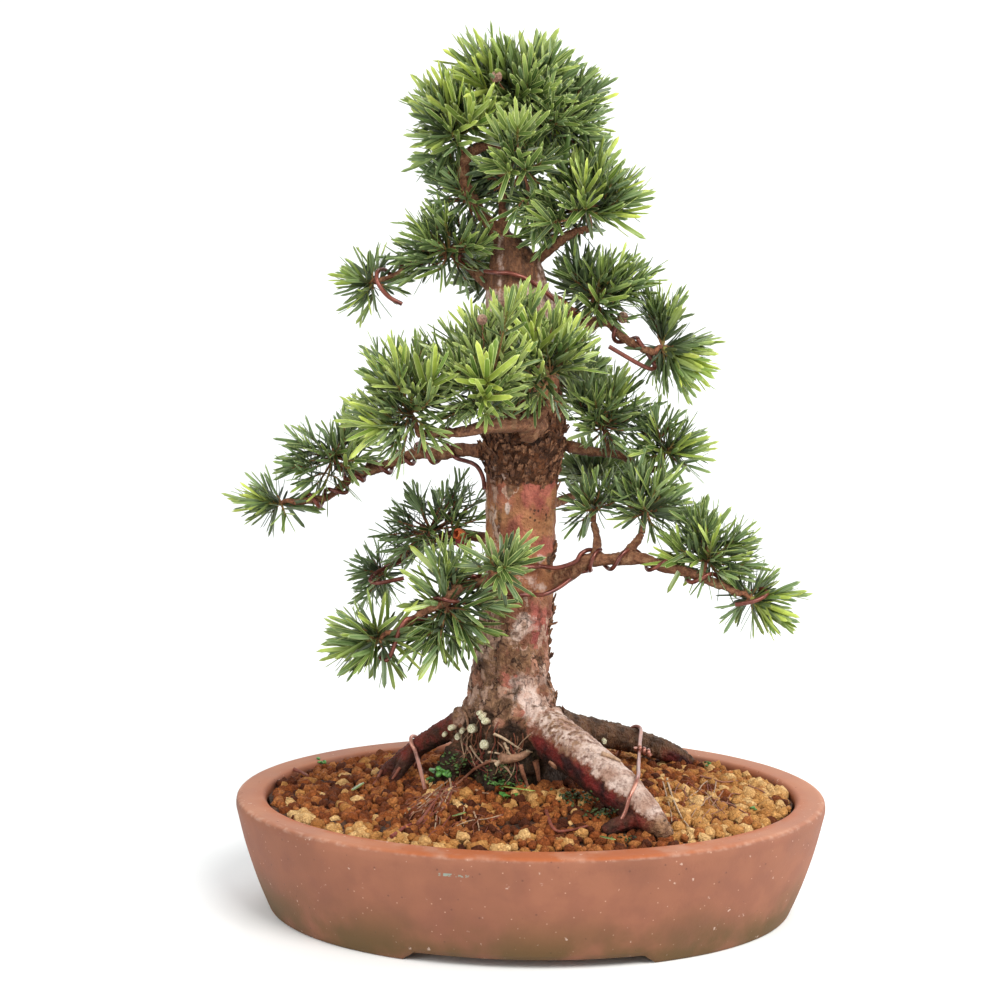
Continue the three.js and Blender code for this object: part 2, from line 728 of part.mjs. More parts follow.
// Corner numbers of a shoot's skin: rings of three at its foot, below its whorl and at its tip,
// the last turned by half a side, so that the whorl is six faces pointing up and down by turns
const plainFaces = [
  [2, 1, 0], [0, 1, 4], [0, 4, 3], [1, 2, 5], [1, 5, 4], [2, 0, 3], [2, 3, 5], [6, 7, 8],
];
// Faces that can carry a needle, with the corner that stands alone named first
const needleFaces = [
  { corners: [6, 3, 4], tilt: 70 }, { corners: [4, 7, 6], tilt: 34 },
  { corners: [7, 4, 5], tilt: 70 }, { corners: [5, 8, 7], tilt: 34 },
  { corners: [8, 5, 3], tilt: 70 }, { corners: [3, 6, 8], tilt: 34 },
];
const whorlHeight = 2.6;

// Raises a three-sided needle from a face: narrow at its foot, widest below its middle, with a
// sharp tip
function raiseNeedle(skin, [alone, next, last], direction, length) {
  const [a, b, c] = [alone, next, last].map((corner) => skin.points[corner]);
  const foot = a.clone().add(b).add(c).divideScalar(3);
  const side = c.clone().sub(b);
  side.addScaledVector(direction, -side.dot(direction)).normalize();
  const face = new THREE.Vector3().crossVectors(side, direction);
  if (a.clone().sub(foot).dot(face) < 0) face.negate();
  const middle = foot.clone().addScaledVector(direction, 0.42 * length);
  const first = skin.points.length;
  skin.points.push(
    middle.clone().addScaledVector(face, (2 / 3) * needleThickness),
    middle.clone().addScaledVector(side, -needleWidth / 2).addScaledVector(face, -needleThickness / 3),
    middle.clone().addScaledVector(side, needleWidth / 2).addScaledVector(face, -needleThickness / 3),
    foot.clone().addScaledVector(direction, length),
  );
  const corners = [alone, next, last];
  for (let i = 0; i < 3; i += 1) {
    const j = (i + 1) % 3;
    skin.faces.push([corners[i], corners[j], first + j], [corners[i], first + j, first + i]);
    skin.faces.push([first + i, first + j, first + 3]);
  }
}

function skinSolid({ points, faces }) {
  const geometry = new THREE.BufferGeometry();
  const places = new Float32Array(points.flatMap((p) => [p.x, p.y, p.z]));
  geometry.setAttribute("position", new THREE.BufferAttribute(places, 3));
  geometry.setIndex(faces.flat());
  return solidOf(geometry);
}

// Each spray: where its stem leaves the wood, the middle of the pad it fills, the pad's half
// sizes with its needles, and the number of its shoots
const sprays = {
  spray_crown_top: { from: [-12, 1, 397], centre: [-11, 0, 415], half: [31, 26, 27], shoots: 6 },
  spray_crown_left: { from: [-36, 0, 375], centre: [-39, -4, 399], half: [24, 22, 25], shoots: 4 },
  spray_crown_right: { from: [-14, 2, 387], centre: [17, 4, 403], half: [22, 20, 24], shoots: 4 },
  spray_crown_low_right: {
    from: [26, -9.5, 345], centre: [32, -8, 360], half: [25, 21, 20], shoots: 4,
  },
  spray_crown_front: { from: [-1, -10, 380], centre: [-6, -31, 375], half: [25, 19, 23], shoots: 4 },
  spray_crown_low_left: {
    from: [-28, 0, 352], centre: [-45, 5, 368], half: [18, 18, 17], shoots: 3,
  },
  spray_crown_back: { from: [-16, 4, 376], centre: [-4, 34, 390], half: [27, 25, 27], shoots: 4 },
  spray_upper_left: { from: [-41, 5, 330], centre: [-46, 5, 337], half: [25, 20, 20], shoots: 4 },
  spray_upper_left_tip: {
    from: [-78, 4, 317], centre: [-86, 3, 316], half: [16, 16, 16], shoots: 3,
  },
  spray_upper_right: { from: [25, 2, 298], centre: [33, 8, 315], half: [24, 20, 22], shoots: 4 },
  spray_upper_right_tip: {
    from: [59, 0, 283], centre: [67, 0, 286], half: [26, 20, 20], shoots: 4,
  },
  spray_pad_left: { from: [-55, -55, 248], centre: [-58, -52, 268], half: [28, 24, 24], shoots: 4 },
  spray_pad_middle: {
    from: [-22, -42, 251], centre: [-25, -44, 282], half: [27, 24, 31], shoots: 5,
  },
  spray_pad_right: { from: [8, -33, 264], centre: [9, -34, 286], half: [21, 21, 25], shoots: 4 },
  spray_left_middle: {
    from: [-100, 16, 222], centre: [-103, 14, 234], half: [29, 22, 20], shoots: 4,
  },
  spray_left_middle_tip: {
    from: [-119, 0, 206], centre: [-127, 0, 204], half: [19, 17, 16], shoots: 3,
  },
  spray_right_middle: { from: [37, 14, 231], centre: [34, 11, 251], half: [24, 20, 20], shoots: 4 },
  spray_right_middle_tip: {
    from: [64, 10, 225], centre: [72, 10, 236], half: [20, 17, 17], shoots: 3,
  },
  spray_right_low: { from: [54, -14, 195], centre: [58, -9, 208], half: [22, 20, 19], shoots: 4 },
  spray_right_low_near: {
    from: [30, -1, 198], centre: [29, 2, 210], half: [17, 19, 18], shoots: 3,
  },
  spray_right_low_middle: {
    from: [84, -22, 174], centre: [86, -20, 190], half: [24, 20, 20], shoots: 4,
  },
  spray_right_low_tip: {
    from: [101, -25, 167], centre: [111, -26, 164], half: [17, 17, 17], shoots: 3,
  },
  spray_left_low_back: {
    from: [-53, 38, 181], centre: [-51, 34, 197], half: [31, 22, 21], shoots: 4,
  },
  spray_left_low_back_tip: {
    from: [-73, 45, 168], centre: [-80, 44, 163], half: [22, 20, 21], shoots: 3,
  },
  spray_left_low_front: {
    from: [-44, -38, 163], centre: [-42, -36, 152], half: [24, 21, 28], shoots: 4,
  },
  spray_left_low_front_tip: {
    from: [-67, -47, 150], centre: [-80, -46, 145], half: [23, 20, 20], shoots: 4,
  },
  spray_front_rosette: {
    from: [-21.5, -43, 177], centre: [-13, -54, 184], half: [20, 17, 20], shoots: 3,
  },
  spray_back_high: { from: [-19, 45, 306], centre: [-22, 56, 318], half: [25, 22, 21], shoots: 4 },
  spray_back_middle: { from: [12, 54, 251], centre: [16, 62, 264], half: [29, 22, 21], shoots: 4 },
  spray_back_low: { from: [25, 53, 205], centre: [33, 62, 216], half: [27, 21, 19], shoots: 4 },
};
const firstSeed = 100;
const shootTries = 12;
const shootTurn = 0.35; // radians from one try to the next
const tipInset = 11; // from a shoot's tip to the edge of its pad, where its needles reach
const shortestShoot = 9;
const stemRise = 1.2;
const needleLifts = [0, -10, 10, -20, 18, -30];
const needleTwists = [0, 11, -11, 22, -22];

// The direction of a shoot's tip from its pad's middle, evenly spread but for the underside
function tipDirection(index, count, turn) {
  const heights = 1.62; // of the 2 between the top and the bottom of a unit sphere
  const height = 1 - (heights * (index + 0.5)) / count;
  const round = Math.sqrt(1 - height * height);
  const angle = goldenAngle * index + turn;
  return new THREE.Vector3(round * Math.cos(angle), round * Math.sin(angle), height);
}

function growSpray(name, spray, seed) {
  const draw = seeded(seed);
  const from = vector(spray.from);
  const centre = vector(spray.centre);
  const hub = from.clone().lerp(centre, 0.8);
  const bow = from.clone().lerp(hub, 0.5).add(new THREE.Vector3(0, 0, stemRise));
  const stem = new Limb([
    [from.x, from.y, from.z, stemRadius],
    [bow.x, bow.y, bow.z, stemRadius * 0.9],
    [hub.x, hub.y, hub.z, stemRadius * 0.7],
  ]);
  const parts = [stem.solid(4, 2)];
  takeLimb(name, stem, 2);
  for (const bud of Object.values(buds).filter((one) => one.spray === name)) {
    const start = stem.curve.getPoint(0.9);
    const end = vector(bud.place);
    end.addScaledVector(end.clone().sub(start).normalize(), -bud.radius - gap);
    const foot = [start.x, start.y, start.z, budTwigRadius];
    parts.push(new Limb([foot, [end.x, end.y, end.z, budTwigRadius * 0.8]]).solid(3, 1));
    takeRod(name, start, end, budTwigRadius);
  }
  const turn = 2 * Math.PI * draw();
  for (let index = 0; index < spray.shoots; index += 1) {
    const start = stem.curve.getPoint(mix(0.5, 0.98, (index + 0.5) / spray.shoots));
    for (let attempt = 0; attempt < shootTries; attempt += 1) {
      const toward = tipDirection(index, spray.shoots, turn + attempt * shootTurn);
      const tip = centre.clone();
      tip.x += toward.x * (spray.half[0] - tipInset);
      tip.y += toward.y * (spray.half[1] - tipInset);
      tip.z += toward.z * (spray.half[2] - tipInset);
      const axis = tip.clone().sub(start);
      const length = Math.max(axis.length(), shortestShoot);
      axis.normalize();
      tip.copy(start).addScaledVector(axis, length);
      const outer = start.clone().lerp(tip, 0.45);
      if (!isClear(outer, tip, shootRadius, (owner) => owner !== name)) continue;
      if (!isClear(start, tip, shootRadius, (owner) => owner in wires)) continue;
      takeRod(name, start, tip, shootRadius);
      parts.push(shootSolid(name, start, axis, length, draw));
      break;
    }
  }
  return parts.reduce((sum, part) => sum.add(part));
}

// A shoot: a slim three-sided core that ends in a whorl of needles
function shootSolid(name, start, axis, length, draw) {
  const firstRoll = 2 * Math.PI * draw();
  const across = leaning(axis, Math.PI / 2, firstRoll);
  const up = new THREE.Vector3().crossVectors(axis, across);
  const skin = { points: [], faces: [...plainFaces] };
  const addRing = (reach, roll) => {
    for (let j = 0; j < 3; j += 1) {
      const angle = roll + (2 * Math.PI * j) / 3;
      const point = start.clone().addScaledVector(axis, reach);
      point.addScaledVector(across, shootRadius * Math.cos(angle));
      skin.points.push(point.addScaledVector(up, shootRadius * Math.sin(angle)));
    }
  };
  addRing(0, 0);
  addRing(length - whorlHeight, 0);
  addRing(length, Math.PI / 3);
  for (const { corners, tilt } of needleFaces) {
    const foot = new THREE.Vector3();
    for (const corner of corners) foot.add(skin.points[corner]);
    foot.divideScalar(3);
    const offset = foot.clone().sub(start);
    const roll = Math.atan2(offset.dot(up), offset.dot(across));
    const reach = needleLength * mix(0.88, 1.06, draw());
    const tries = needleLifts.flatMap((lift) => needleTwists.map((twist) => [lift, twist]));
    const directions = tries.map(([lift, twist]) => {
      const angle = degToRad(tilt + lift);
      const turned = roll + degToRad(twist);
      const outward = across.clone().multiplyScalar(Math.cos(turned));
      outward.addScaledVector(up, Math.sin(turned));
      const direction = axis.clone().multiplyScalar(Math.cos(angle));
      return direction.addScaledVector(outward, Math.sin(angle));
    });
    const rodOf = (direction) => [
      foot.clone().addScaledVector(direction, 0.22 * reach),
      foot.clone().addScaledVector(direction, reach),
    ];
    const others = directions.filter((direction) =>
      isClear(...rodOf(direction), needleWidth / 2, (owner) => owner !== name),
    );
    if (!others.length) {
      skin.faces.push(corners);
      continue;
    }
    const isAlone = (direction) =>
      isClear(...rodOf(direction), needleWidth / 5, (owner) => owner === name);
    const direction = others.find(isAlone) ?? others[0];
    takeRod(name, ...rodOf(direction), needleWidth / 2);
    raiseNeedle(skin, corners, direction, reach);
  }
  return skinSolid(skin);
}

// Materials and the finished object

const materials = {
  clay: new THREE.MeshStandardMaterial({ color: 0x9a6450, roughness: 0.82, metalness: 0 }),
  soil: new THREE.MeshStandardMaterial({ color: 0x94603a, roughness: 0.95, metalness: 0 }),
  bark: new THREE.MeshStandardMaterial({ color: 0x8c6352, roughness: 0.85, metalness: 0 }),
  needles: new THREE.MeshStandardMaterial({ color: 0x3f6b2e, roughness: 0.5, metalness: 0 }),
  wire: new THREE.MeshStandardMaterial({ color: 0x6b3a2c, roughness: 0.4, metalness: 0.7 }),
  plastic: new THREE.MeshStandardMaterial({ color: 0x22272a, roughness: 0.6, metalness: 0 }),
  bud: new THREE.MeshStandardMaterial({ color: 0xa8796a, roughness: 0.7, metalness: 0 }),
  aril: new THREE.MeshStandardMaterial({ color: 0xd4512a, roughness: 0.5, metalness: 0 }),
  weed: new THREE.MeshStandardMaterial({ color: 0x4f8a35, roughness: 0.6, metalness: 0 }),
};

const bonsai = new THREE.Group();
bonsai.name = "japanese_yew_bonsai";

function addPiece(name, solid, material) {
  const mesh = new THREE.Mesh(geometryOf(solid), material);
  mesh.name = name;
  bonsai.add(mesh);
}

// A ball is a rod of next to no length
function takeBall(owner, middle, radius) {
  const almostNothing = new THREE.Vector3(0, 0, 0.01);
  takeRod(owner, middle, middle.clone().add(almostNothing), radius);
}

const grownWood = woodSolid(holeGap);
takeWood();
for (const [name, points] of Object.entries(wires)) {
  takeLimb(name, new Limb(points.map(([x, y, z]) => [x, y, z, wireRadius])), points.length - 1);
}
for (const [name, { place, radius }] of Object.entries(buds)) {
  takeBall(name, vector(place), radius);
}
takeBall("aril", arilPlace, aril.radius);

addPiece("pot", potSolid(), materials.clay);
addPiece("drainage_screen_left", screenSolid(-drainOffset), materials.plastic);
addPiece("drainage_screen_right", screenSolid(drainOffset), materials.plastic);
addPiece("soil", soilSolid(grownWood), materials.soil);
addPiece("tree_wood", woodSolid(0), materials.bark);
for (const [name, points] of Object.entries(wires)) {
  addPiece(name, wireSolid(points, wireRadius, wireSides), materials.wire);
}
for (const [name, points] of Object.entries(tieWires)) {
  addPiece(name, wireSolid(points, tieRadius, tieSides), materials.wire);
}
for (const [name, weed] of Object.entries(weeds)) addPiece(name, weedSolid(weed), materials.weed);
for (const [name, bud] of Object.entries(buds)) addPiece(name, budSolid(bud), materials.bud);
addPiece("aril", arilSolid(), materials.aril);
Object.entries(sprays).forEach(([name, spray], index) => {
  const solid = growSpray(name, spray, firstSeed + index);
  addPiece(name, largestBody(solid.subtract(grownWood)), materials.needles);
});

export default bonsai;
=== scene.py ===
# A trained Japanese yew in a low oval clay pot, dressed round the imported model.
# Metres, +Z up, the front of the tree towards -Y. Piece sizes are given in millimetres.
import json
import math

import bmesh
import bpy
import numpy as np
from mathutils import Matrix, Vector, kdtree, noise
from mathutils.bvhtree import BVHTree

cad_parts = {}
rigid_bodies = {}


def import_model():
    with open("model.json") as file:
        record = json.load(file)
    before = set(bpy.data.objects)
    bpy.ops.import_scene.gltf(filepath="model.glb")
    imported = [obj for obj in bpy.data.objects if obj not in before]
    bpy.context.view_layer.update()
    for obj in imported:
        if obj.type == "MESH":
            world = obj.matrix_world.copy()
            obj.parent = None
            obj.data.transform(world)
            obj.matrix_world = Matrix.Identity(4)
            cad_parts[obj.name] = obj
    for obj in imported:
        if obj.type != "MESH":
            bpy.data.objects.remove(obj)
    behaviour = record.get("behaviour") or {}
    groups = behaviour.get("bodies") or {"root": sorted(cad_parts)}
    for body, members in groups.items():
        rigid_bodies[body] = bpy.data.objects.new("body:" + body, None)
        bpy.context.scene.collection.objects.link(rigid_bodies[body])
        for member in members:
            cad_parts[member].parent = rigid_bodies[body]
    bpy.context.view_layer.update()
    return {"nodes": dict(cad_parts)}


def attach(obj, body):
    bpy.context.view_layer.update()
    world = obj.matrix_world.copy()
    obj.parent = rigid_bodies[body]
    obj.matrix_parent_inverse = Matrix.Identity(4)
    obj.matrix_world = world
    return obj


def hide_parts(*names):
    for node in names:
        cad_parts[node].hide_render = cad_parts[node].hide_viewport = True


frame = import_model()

mm = 0.001
fullTurn = 2 * math.pi
goldenAngle = math.pi * (3 - math.sqrt(5))
scene = bpy.context.scene


def mix(a, b, share):
    return a + (b - a) * share


def smooth(low, high, value):
    share = np.clip((value - low) / (high - low), 0, 1)
    return share * share * (3 - 2 * share)


def unit(vector):
    return vector / (np.linalg.norm(vector) + 1e-12)


def shade(code):
    # a colour as six hexadecimal digits, turned into linear red, green, blue and 1
    parts = [int(code[i:i + 2], 16) / 255 for i in (0, 2, 4)]
    return tuple(p / 12.92 if p <= 0.04045 else ((p + 0.055) / 1.055) ** 2.4 for p in parts) + (1,)


def softFaces(mesh):
    mesh.polygons.foreach_set("use_smooth", np.ones(len(mesh.polygons), bool))


def meshObject(name, points, faces=(), edges=(), materials=(), smoothFaces=True):
    mesh = bpy.data.meshes.new(name)
    mesh.from_pydata([tuple(p) for p in points], list(edges), [tuple(f) for f in faces])
    for material in materials:
        mesh.materials.append(material)
    if smoothFaces and len(mesh.polygons):
        softFaces(mesh)
    mesh.update()
    piece = bpy.data.objects.new(name, mesh)
    scene.collection.objects.link(piece)
    return piece


def lumpObject(name, lump):
    # turns a bmesh into an object that isn't in the scene yet
    mesh = bpy.data.meshes.new(name)
    lump.to_mesh(mesh)
    lump.free()
    return bpy.data.objects.new(name, mesh)


def shapeBox(name, shapes):
    # a collection of shapes that the trees place again and again
    box = bpy.data.collections.new(name)
    scene.collection.children.link(box)
    for shape in shapes:
        for holder in shape.users_collection:
            holder.objects.unlink(shape)
        box.objects.link(shape)
    return box


def dropShapes(box):
    for shape in list(box.objects):
        bpy.data.objects.remove(shape)
    bpy.data.collections.remove(box)


def closedSkin(rings, first, last):
    # rings with the same number of points are joined in turn; a middle point closes each end
    sides, count = len(rings[0]), len(rings)
    around = [(j, (j + 1) % sides) for j in range(sides)]
    steps = [(i * sides, (i + 1) * sides) for i in range(count - 1)]
    faces = [(low + j, low + k, high + k, high + j) for low, high in steps for j, k in around]
    middle, top = count * sides, (count - 1) * sides
    for j, k in around:
        faces += [(middle, k, j), (middle + 1, top + j, top + k)]
    return [point for ring in rings for point in ring] + [first, last], faces


def joinShapes(shapes):
    points, faces = [], []
    for shapePoints, shapeFaces in shapes:
        first = len(points)
        points.extend(shapePoints)
        faces.extend(tuple(first + i for i in face) for face in shapeFaces)
    return points, faces


def paint(piece, **layers):
    # numbers for each vertex, which the piece's material or tree reads by name
    attributes = piece.data.attributes
    for name, values in layers.items():
        layer = attributes.get(name) or attributes.new(name, "FLOAT", "POINT")
        layer.data.foreach_set("value", np.asarray(values, np.float32))


def pointsOf(piece, kind="co"):
    flat = np.empty(len(piece.data.vertices) * 3, np.float32)
    piece.data.vertices.foreach_get(kind, flat)
    return flat.reshape(-1, 3).astype(float)


def bake(piece):
    # the evaluated result becomes the piece's own plain mesh, and the modifiers go
    graph = bpy.context.evaluated_depsgraph_get()
    result = bpy.data.meshes.new_from_object(piece.evaluated_get(graph))
    old = piece.data
    piece.modifiers.clear()
    piece.data = result
    result.name = piece.name
    bpy.data.meshes.remove(old)
    return piece


def settle(piece, slotName, *nodes):
    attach(piece, "root")
    if nodes:
        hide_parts(*nodes)
    return piece


class Value:
    # the output of a node, which can be reckoned with like a number
    def __init__(self, board, socket):
        self.board, self.socket = board, socket

    def __add__(self, other):
        return self.board.calc("ADD", self, other)

    def __sub__(self, other):
        return self.board.calc("SUBTRACT", self, other)

    def __rsub__(self, other):
        return self.board.calc("SUBTRACT", other, self)

    def __mul__(self, other):
        return self.board.calc("MULTIPLY", self, other)

    def __lt__(self, other):
        return self.board.calc("LESS_THAN", self, other)

    def __gt__(self, other):
        return self.board.calc("GREATER_THAN", self, other)

    def __abs__(self):
        return self.board.calc("ABSOLUTE", self)

    def spread(self, low, high, toLow=0.0, toHigh=1.0):
        inputs = {"Value": self, "From Min": low, "From Max": high, "To Min": toLow, "To Max": toHigh}
        return self.board.out("ShaderNodeMapRange", inputs, interpolation_type="SMOOTHSTEP")


class Board:
    # a node tree with short ways to add to it
    def __init__(self, tree):
        self.tree = tree

    def join(self, value, socket):
        if isinstance(value, Value):
            self.tree.links.new(value.socket, socket)
        else:
            isColour = socket.type == "RGBA" and isinstance(value, str)
            socket.default_value = shade(value) if isColour else value

    def put(self, kind, inputs=None, **settings):
        # adds a node, with its settings and the values or links of its inputs
        node = self.tree.nodes.new(kind)
        for name, value in settings.items():
            setattr(node, name, value)
        for name, value in (inputs or {}).items():
            named = (socket for socket in node.inputs if socket.name == name and socket.enabled)
            self.join(value, node.inputs[name] if isinstance(name, int) else next(named))
        return node

    def out(self, kind, inputs=None, output=0, **settings):
        return Value(self, self.put(kind, inputs, **settings).outputs[output])

    def calc(self, operation, *values):
        return self.out("ShaderNodeMath", dict(enumerate(values)), operation=operation)

    def vector(self, operation, *values, scale=None):
        inputs = dict(enumerate(values)) | ({} if scale is None else {"Scale": scale})
        return self.out("ShaderNodeVectorMath", inputs, operation=operation)

    def parts(self, vector):
        node = self.put("ShaderNodeSeparateXYZ", {"Vector": vector})
        return [Value(self, output) for output in node.outputs]

    def blend(self, factor, first, second):
        inputs = {0: factor, 6: first, 7: second}
        return self.out("ShaderNodeMix", inputs, 2, data_type="RGBA", blend_type="MIX")

    def coat(self, body, *coats):
        # lays colours one over another, each through its mask
        for mask, colour in coats:
            body = self.blend(mask, body, colour)
        return body


class Group(Board):
    # a new tree; an input is given as the name of its type, or as the number that it starts from
    def __init__(self, name, kind, inputs, outputs):
        super().__init__(bpy.data.node_groups.new(name, kind))
        self.ids = {}
        for label, value in inputs.items():
            word = value if isinstance(value, str) else "Int" if isinstance(value, int) else "Float"
            socket = self.tree.interface.new_socket(label, in_out="INPUT", socket_type="NodeSocket" + word)
            if word != value:
                socket.default_value = value
            self.ids[label] = socket.identifier
        for label, word in outputs.items():
            self.tree.interface.new_socket(label, in_out="OUTPUT", socket_type="NodeSocket" + word)
        entry = self.put("NodeGroupInput")
        self.entry = {label: Value(self, entry.outputs[label]) for label in inputs}
        self.leave = self.put("NodeGroupOutput").inputs


class GeometryTree(Group):
    def __init__(self, name, **inputs):
        ends = {"Geometry": "Geometry"}
        super().__init__(name, "GeometryNodeTree", ends | inputs, ends)
        self.start = self.entry["Geometry"]

    def named(self, label):
        return self.out("GeometryNodeInputNamedAttribute", {"Name": label}, data_type="FLOAT")

    def chance(self, low, high, seed):
        # a number or a vector at random; whole limits give whole numbers
        kinds = {tuple: ("FLOAT_VECTOR", 0), float: ("FLOAT", 2), int: ("INT", 4)}
        kind, first = kinds[type(low)]
        inputs = {first: low, first + 1: high, "Seed": seed}
        return self.out("FunctionNodeRandomValue", inputs, first // 2, data_type=kind)

    def toned(self, geometry, seed):
        # each point gets a tone of its own
        inputs = {"Geometry": geometry, "Name": "tone", "Value": self.chance(0.0, 1.0, seed)}
        kind = "GeometryNodeStoreNamedAttribute"
        return self.out(kind, inputs, data_type="FLOAT", domain="POINT")

    def sprinkled(self, most, zone, toneSeed):
        # points that keep a distance, where a zone is painted, and the way that the surface faces
        node = self.put("GeometryNodeDistributePointsOnFaces", {
            "Mesh": self.start, "Distance Min": self.entry["Distance"], "Density Max": most,
            "Density Factor": self.named(zone), "Seed": self.entry["Seed"],
        }, distribute_method="POISSON")
        points = self.toned(Value(self, node.outputs["Points"]), toneSeed)
        return points, Value(self, node.outputs["Normal"])

    def shifted(self, points, offset):
        return self.out("GeometryNodeSetPosition", {"Geometry": points, "Offset": offset})

    def turned(self, vector, axis, rotation=None, pivot="AUTO"):
        inputs = {"Vector": vector} | ({} if rotation is None else {"Rotation": rotation})
        return self.out("FunctionNodeAlignRotationToVector", inputs, axis=axis, pivot_axis=pivot)

    def planted(self, points, rotation, scale, **more):
        # one of the shapes on each point, as real faces
        kind = "GeometryNodeCollectionInfo"
        inputs = {"Collection": self.entry["Shapes"], "Separate Children": True, "Reset Children": True}
        inputs = {
            "Points": points, "Instance": self.out(kind, inputs), "Rotation": rotation, "Scale": scale,
        } | {name.replace("_", " "): value for name, value in more.items()}
        placed = self.out("GeometryNodeInstanceOnPoints", inputs)
        return self.out("GeometryNodeRealizeInstances", {"Geometry": placed})

    def bar(self, line, sides, radius, scale):
        ring = self.out("GeometryNodeCurvePrimitiveCircle", {"Resolution": sides, "Radius": radius})
        inputs = {"Curve": line, "Profile Curve": ring, "Scale": scale, "Fill Caps": True}
        return self.out("GeometryNodeCurveToMesh", inputs)

    def resampled(self, line, step):
        return self.out("GeometryNodeResampleCurve", {"Curve": line, "Length": step}, mode="LENGTH")

    def softened(self, geometry):
        return self.out("GeometryNodeSetShadeSmooth", {"Geometry": geometry, "Shade Smooth": True})

    def coated(self, geometry, finish="Finish"):
        inputs = {"Geometry": geometry, "Material": self.entry[finish]}
        return self.out("GeometryNodeSetMaterial", inputs)

    def close(self, geometry):
        self.join(geometry, self.leave["Geometry"])
        return self

    def run(self, piece, **values):
        modifier = piece.modifiers.new(self.tree.name, "NODES")
        modifier.node_group = self.tree
        for label, value in values.items():
            modifier[self.ids[label]] = value
        return bake(piece)


class Finish(Board):
    # a material with a Principled shader; even numbers are set on the shader's own sockets
    def __init__(self, name, **uniform):
        self.material = bpy.data.materials.new(name)
        self.material.use_nodes = True
        super().__init__(self.material.node_tree)
        self.tree.nodes.clear()
        inputs = {label.replace("_", " "): value for label, value in uniform.items()}
        self.shader = self.put("ShaderNodeBsdfPrincipled", inputs)
        self.put("ShaderNodeOutputMaterial", {"Surface": Value(self, self.shader.outputs[0])})
        self.place = self.out("ShaderNodeTexCoord", output="Object")

    def painted(self, name):
        return self.out("ShaderNodeAttribute", output="Fac", attribute_name=name)

    def effect(self, name, **values):
        # places a shared effect; its inputs are named by words with a small first letter
        inputs = {label.capitalize(): value for label, value in values.items()}
        node = self.tree.nodes.new("ShaderNodeGroup")
        node.node_tree = effects[name].tree
        for label, value in ({"Vector": self.place} | inputs).items():
            self.join(value, node.inputs[label])
        found = [Value(self, output) for output in node.outputs]
        return found[0] if len(found) == 1 else found

    def cloud(self, scale, low=0.35, high=0.65):
        return self.effect("patches", scale=scale, low=low, high=high)

    def ramp(self, factor, darkest, middle, lightest):
        node = self.put("ShaderNodeValToRGB", {"Fac": factor})
        stops = node.color_ramp.elements
        stops[0].color, stops[1].color = shade(darkest), shade(lightest)
        stops.new(0.5).color = shade(middle)
        return Value(self, node.outputs[0])

    def close(self, colour, roughness=None, height=None, strength=0.5, distance=0.0004):
        self.join(colour, self.shader.inputs["Base Color"])
        if roughness is not None:
            self.join(roughness, self.shader.inputs["Roughness"])
        if height is not None:
            inputs = {"Height": height, "Strength": strength, "Distance": distance}
            self.join(self.out("ShaderNodeBump", inputs), self.shader.inputs["Normal"])
        return self.material


cameraSettings = {"place": (0, -1.2, 0.3955), "lens": 87.3, "turns": (0.804, 81.147, 0.509)}
camera = bpy.data.objects.new("camera", bpy.data.cameras.new("camera"))
camera.data.lens = cameraSettings["lens"]
camera.data.sensor_width = 36
camera.data.clip_start, camera.data.clip_end = 0.05, 20
cameraPlace = Matrix.Translation(cameraSettings["place"])
for turn, axis in zip(cameraSettings["turns"], "ZXZ"):
    cameraPlace = cameraPlace @ Matrix.Rotation(math.radians(turn), 4, axis)
camera.matrix_world = cameraPlace
scene.collection.objects.link(camera)
scene.camera = camera
scene.view_settings.view_transform = "Standard"


def seenAt(across, down, depth):
    # the place in millimetres, at a depth along Y, that shows at a spot of the 1000 wide view
    focal = cameraSettings["lens"] / camera.data.sensor_width * 1000
    ray = cameraPlace.to_3x3() @ Vector(((across - 500) / focal, (500 - down) / focal, -1))
    eye = cameraPlace.translation
    return np.array(eye + ray * ((depth * mm - eye.y) / ray.y)) / mm


# each light's place, size, watts and tint
lightSettings = {
    "keyLight": ((0.75, -1.3, 1.7), 1.1, 43, (1, 0.98, 0.95)),
    "fillLight": ((-1.4, -1.2, 1.0), 1.4, 22, (1, 0.99, 0.97)),
    "sideLight": ((1.8, 0.1, 0.7), 1.2, 25, (1, 1, 0.99)),
    "rimLight": ((0.3, 1.6, 1.6), 1.4, 13, (0.96, 0.98, 1)),
}
for lightName, (place, *values) in lightSettings.items():
    data = bpy.data.lights.new(lightName, "AREA")
    data.size, data.energy, data.color = values
    lamp = bpy.data.objects.new(lightName, data)
    lamp.location = place
    lamp.rotation_euler = (Vector(place) - Vector((0, 0, 0.2))).to_track_quat("Z", "Y").to_euler()
    scene.collection.objects.link(lamp)

sky = scene.world or bpy.data.worlds.new("sky")
scene.world = sky
sky.use_nodes = True
skyLight = sky.node_tree.nodes["Background"]
skyLight.inputs["Color"].default_value = (0.92, 0.95, 1, 1)
skyLight.inputs["Strength"].default_value = 0.5


def patchesEffect():
    # soft-edged patches of noise
    inputs = {"Vector": "Vector", "Scale": 100.0, "Low": 0.4, "High": 0.6, "Detail": 4.0}
    group = Group("patches", "ShaderNodeTree", inputs, {"Mask": "Float"})
    entry = group.entry
    cloud = group.out("ShaderNodeTexNoise", {name: entry[name] for name in ("Vector", "Scale", "Detail")})
    group.join(cloud.spread(entry["Low"], entry["High"]), group.leave["Mask"])
    return group


def stretched(group):
    # the group's own place, drawn out along Z
    shape = group.out("ShaderNodeCombineXYZ", {"X": 1.0, "Y": 1.0, "Z": group.entry["Stretch"]})
    return group.vector("MULTIPLY", group.entry["Vector"], shape)


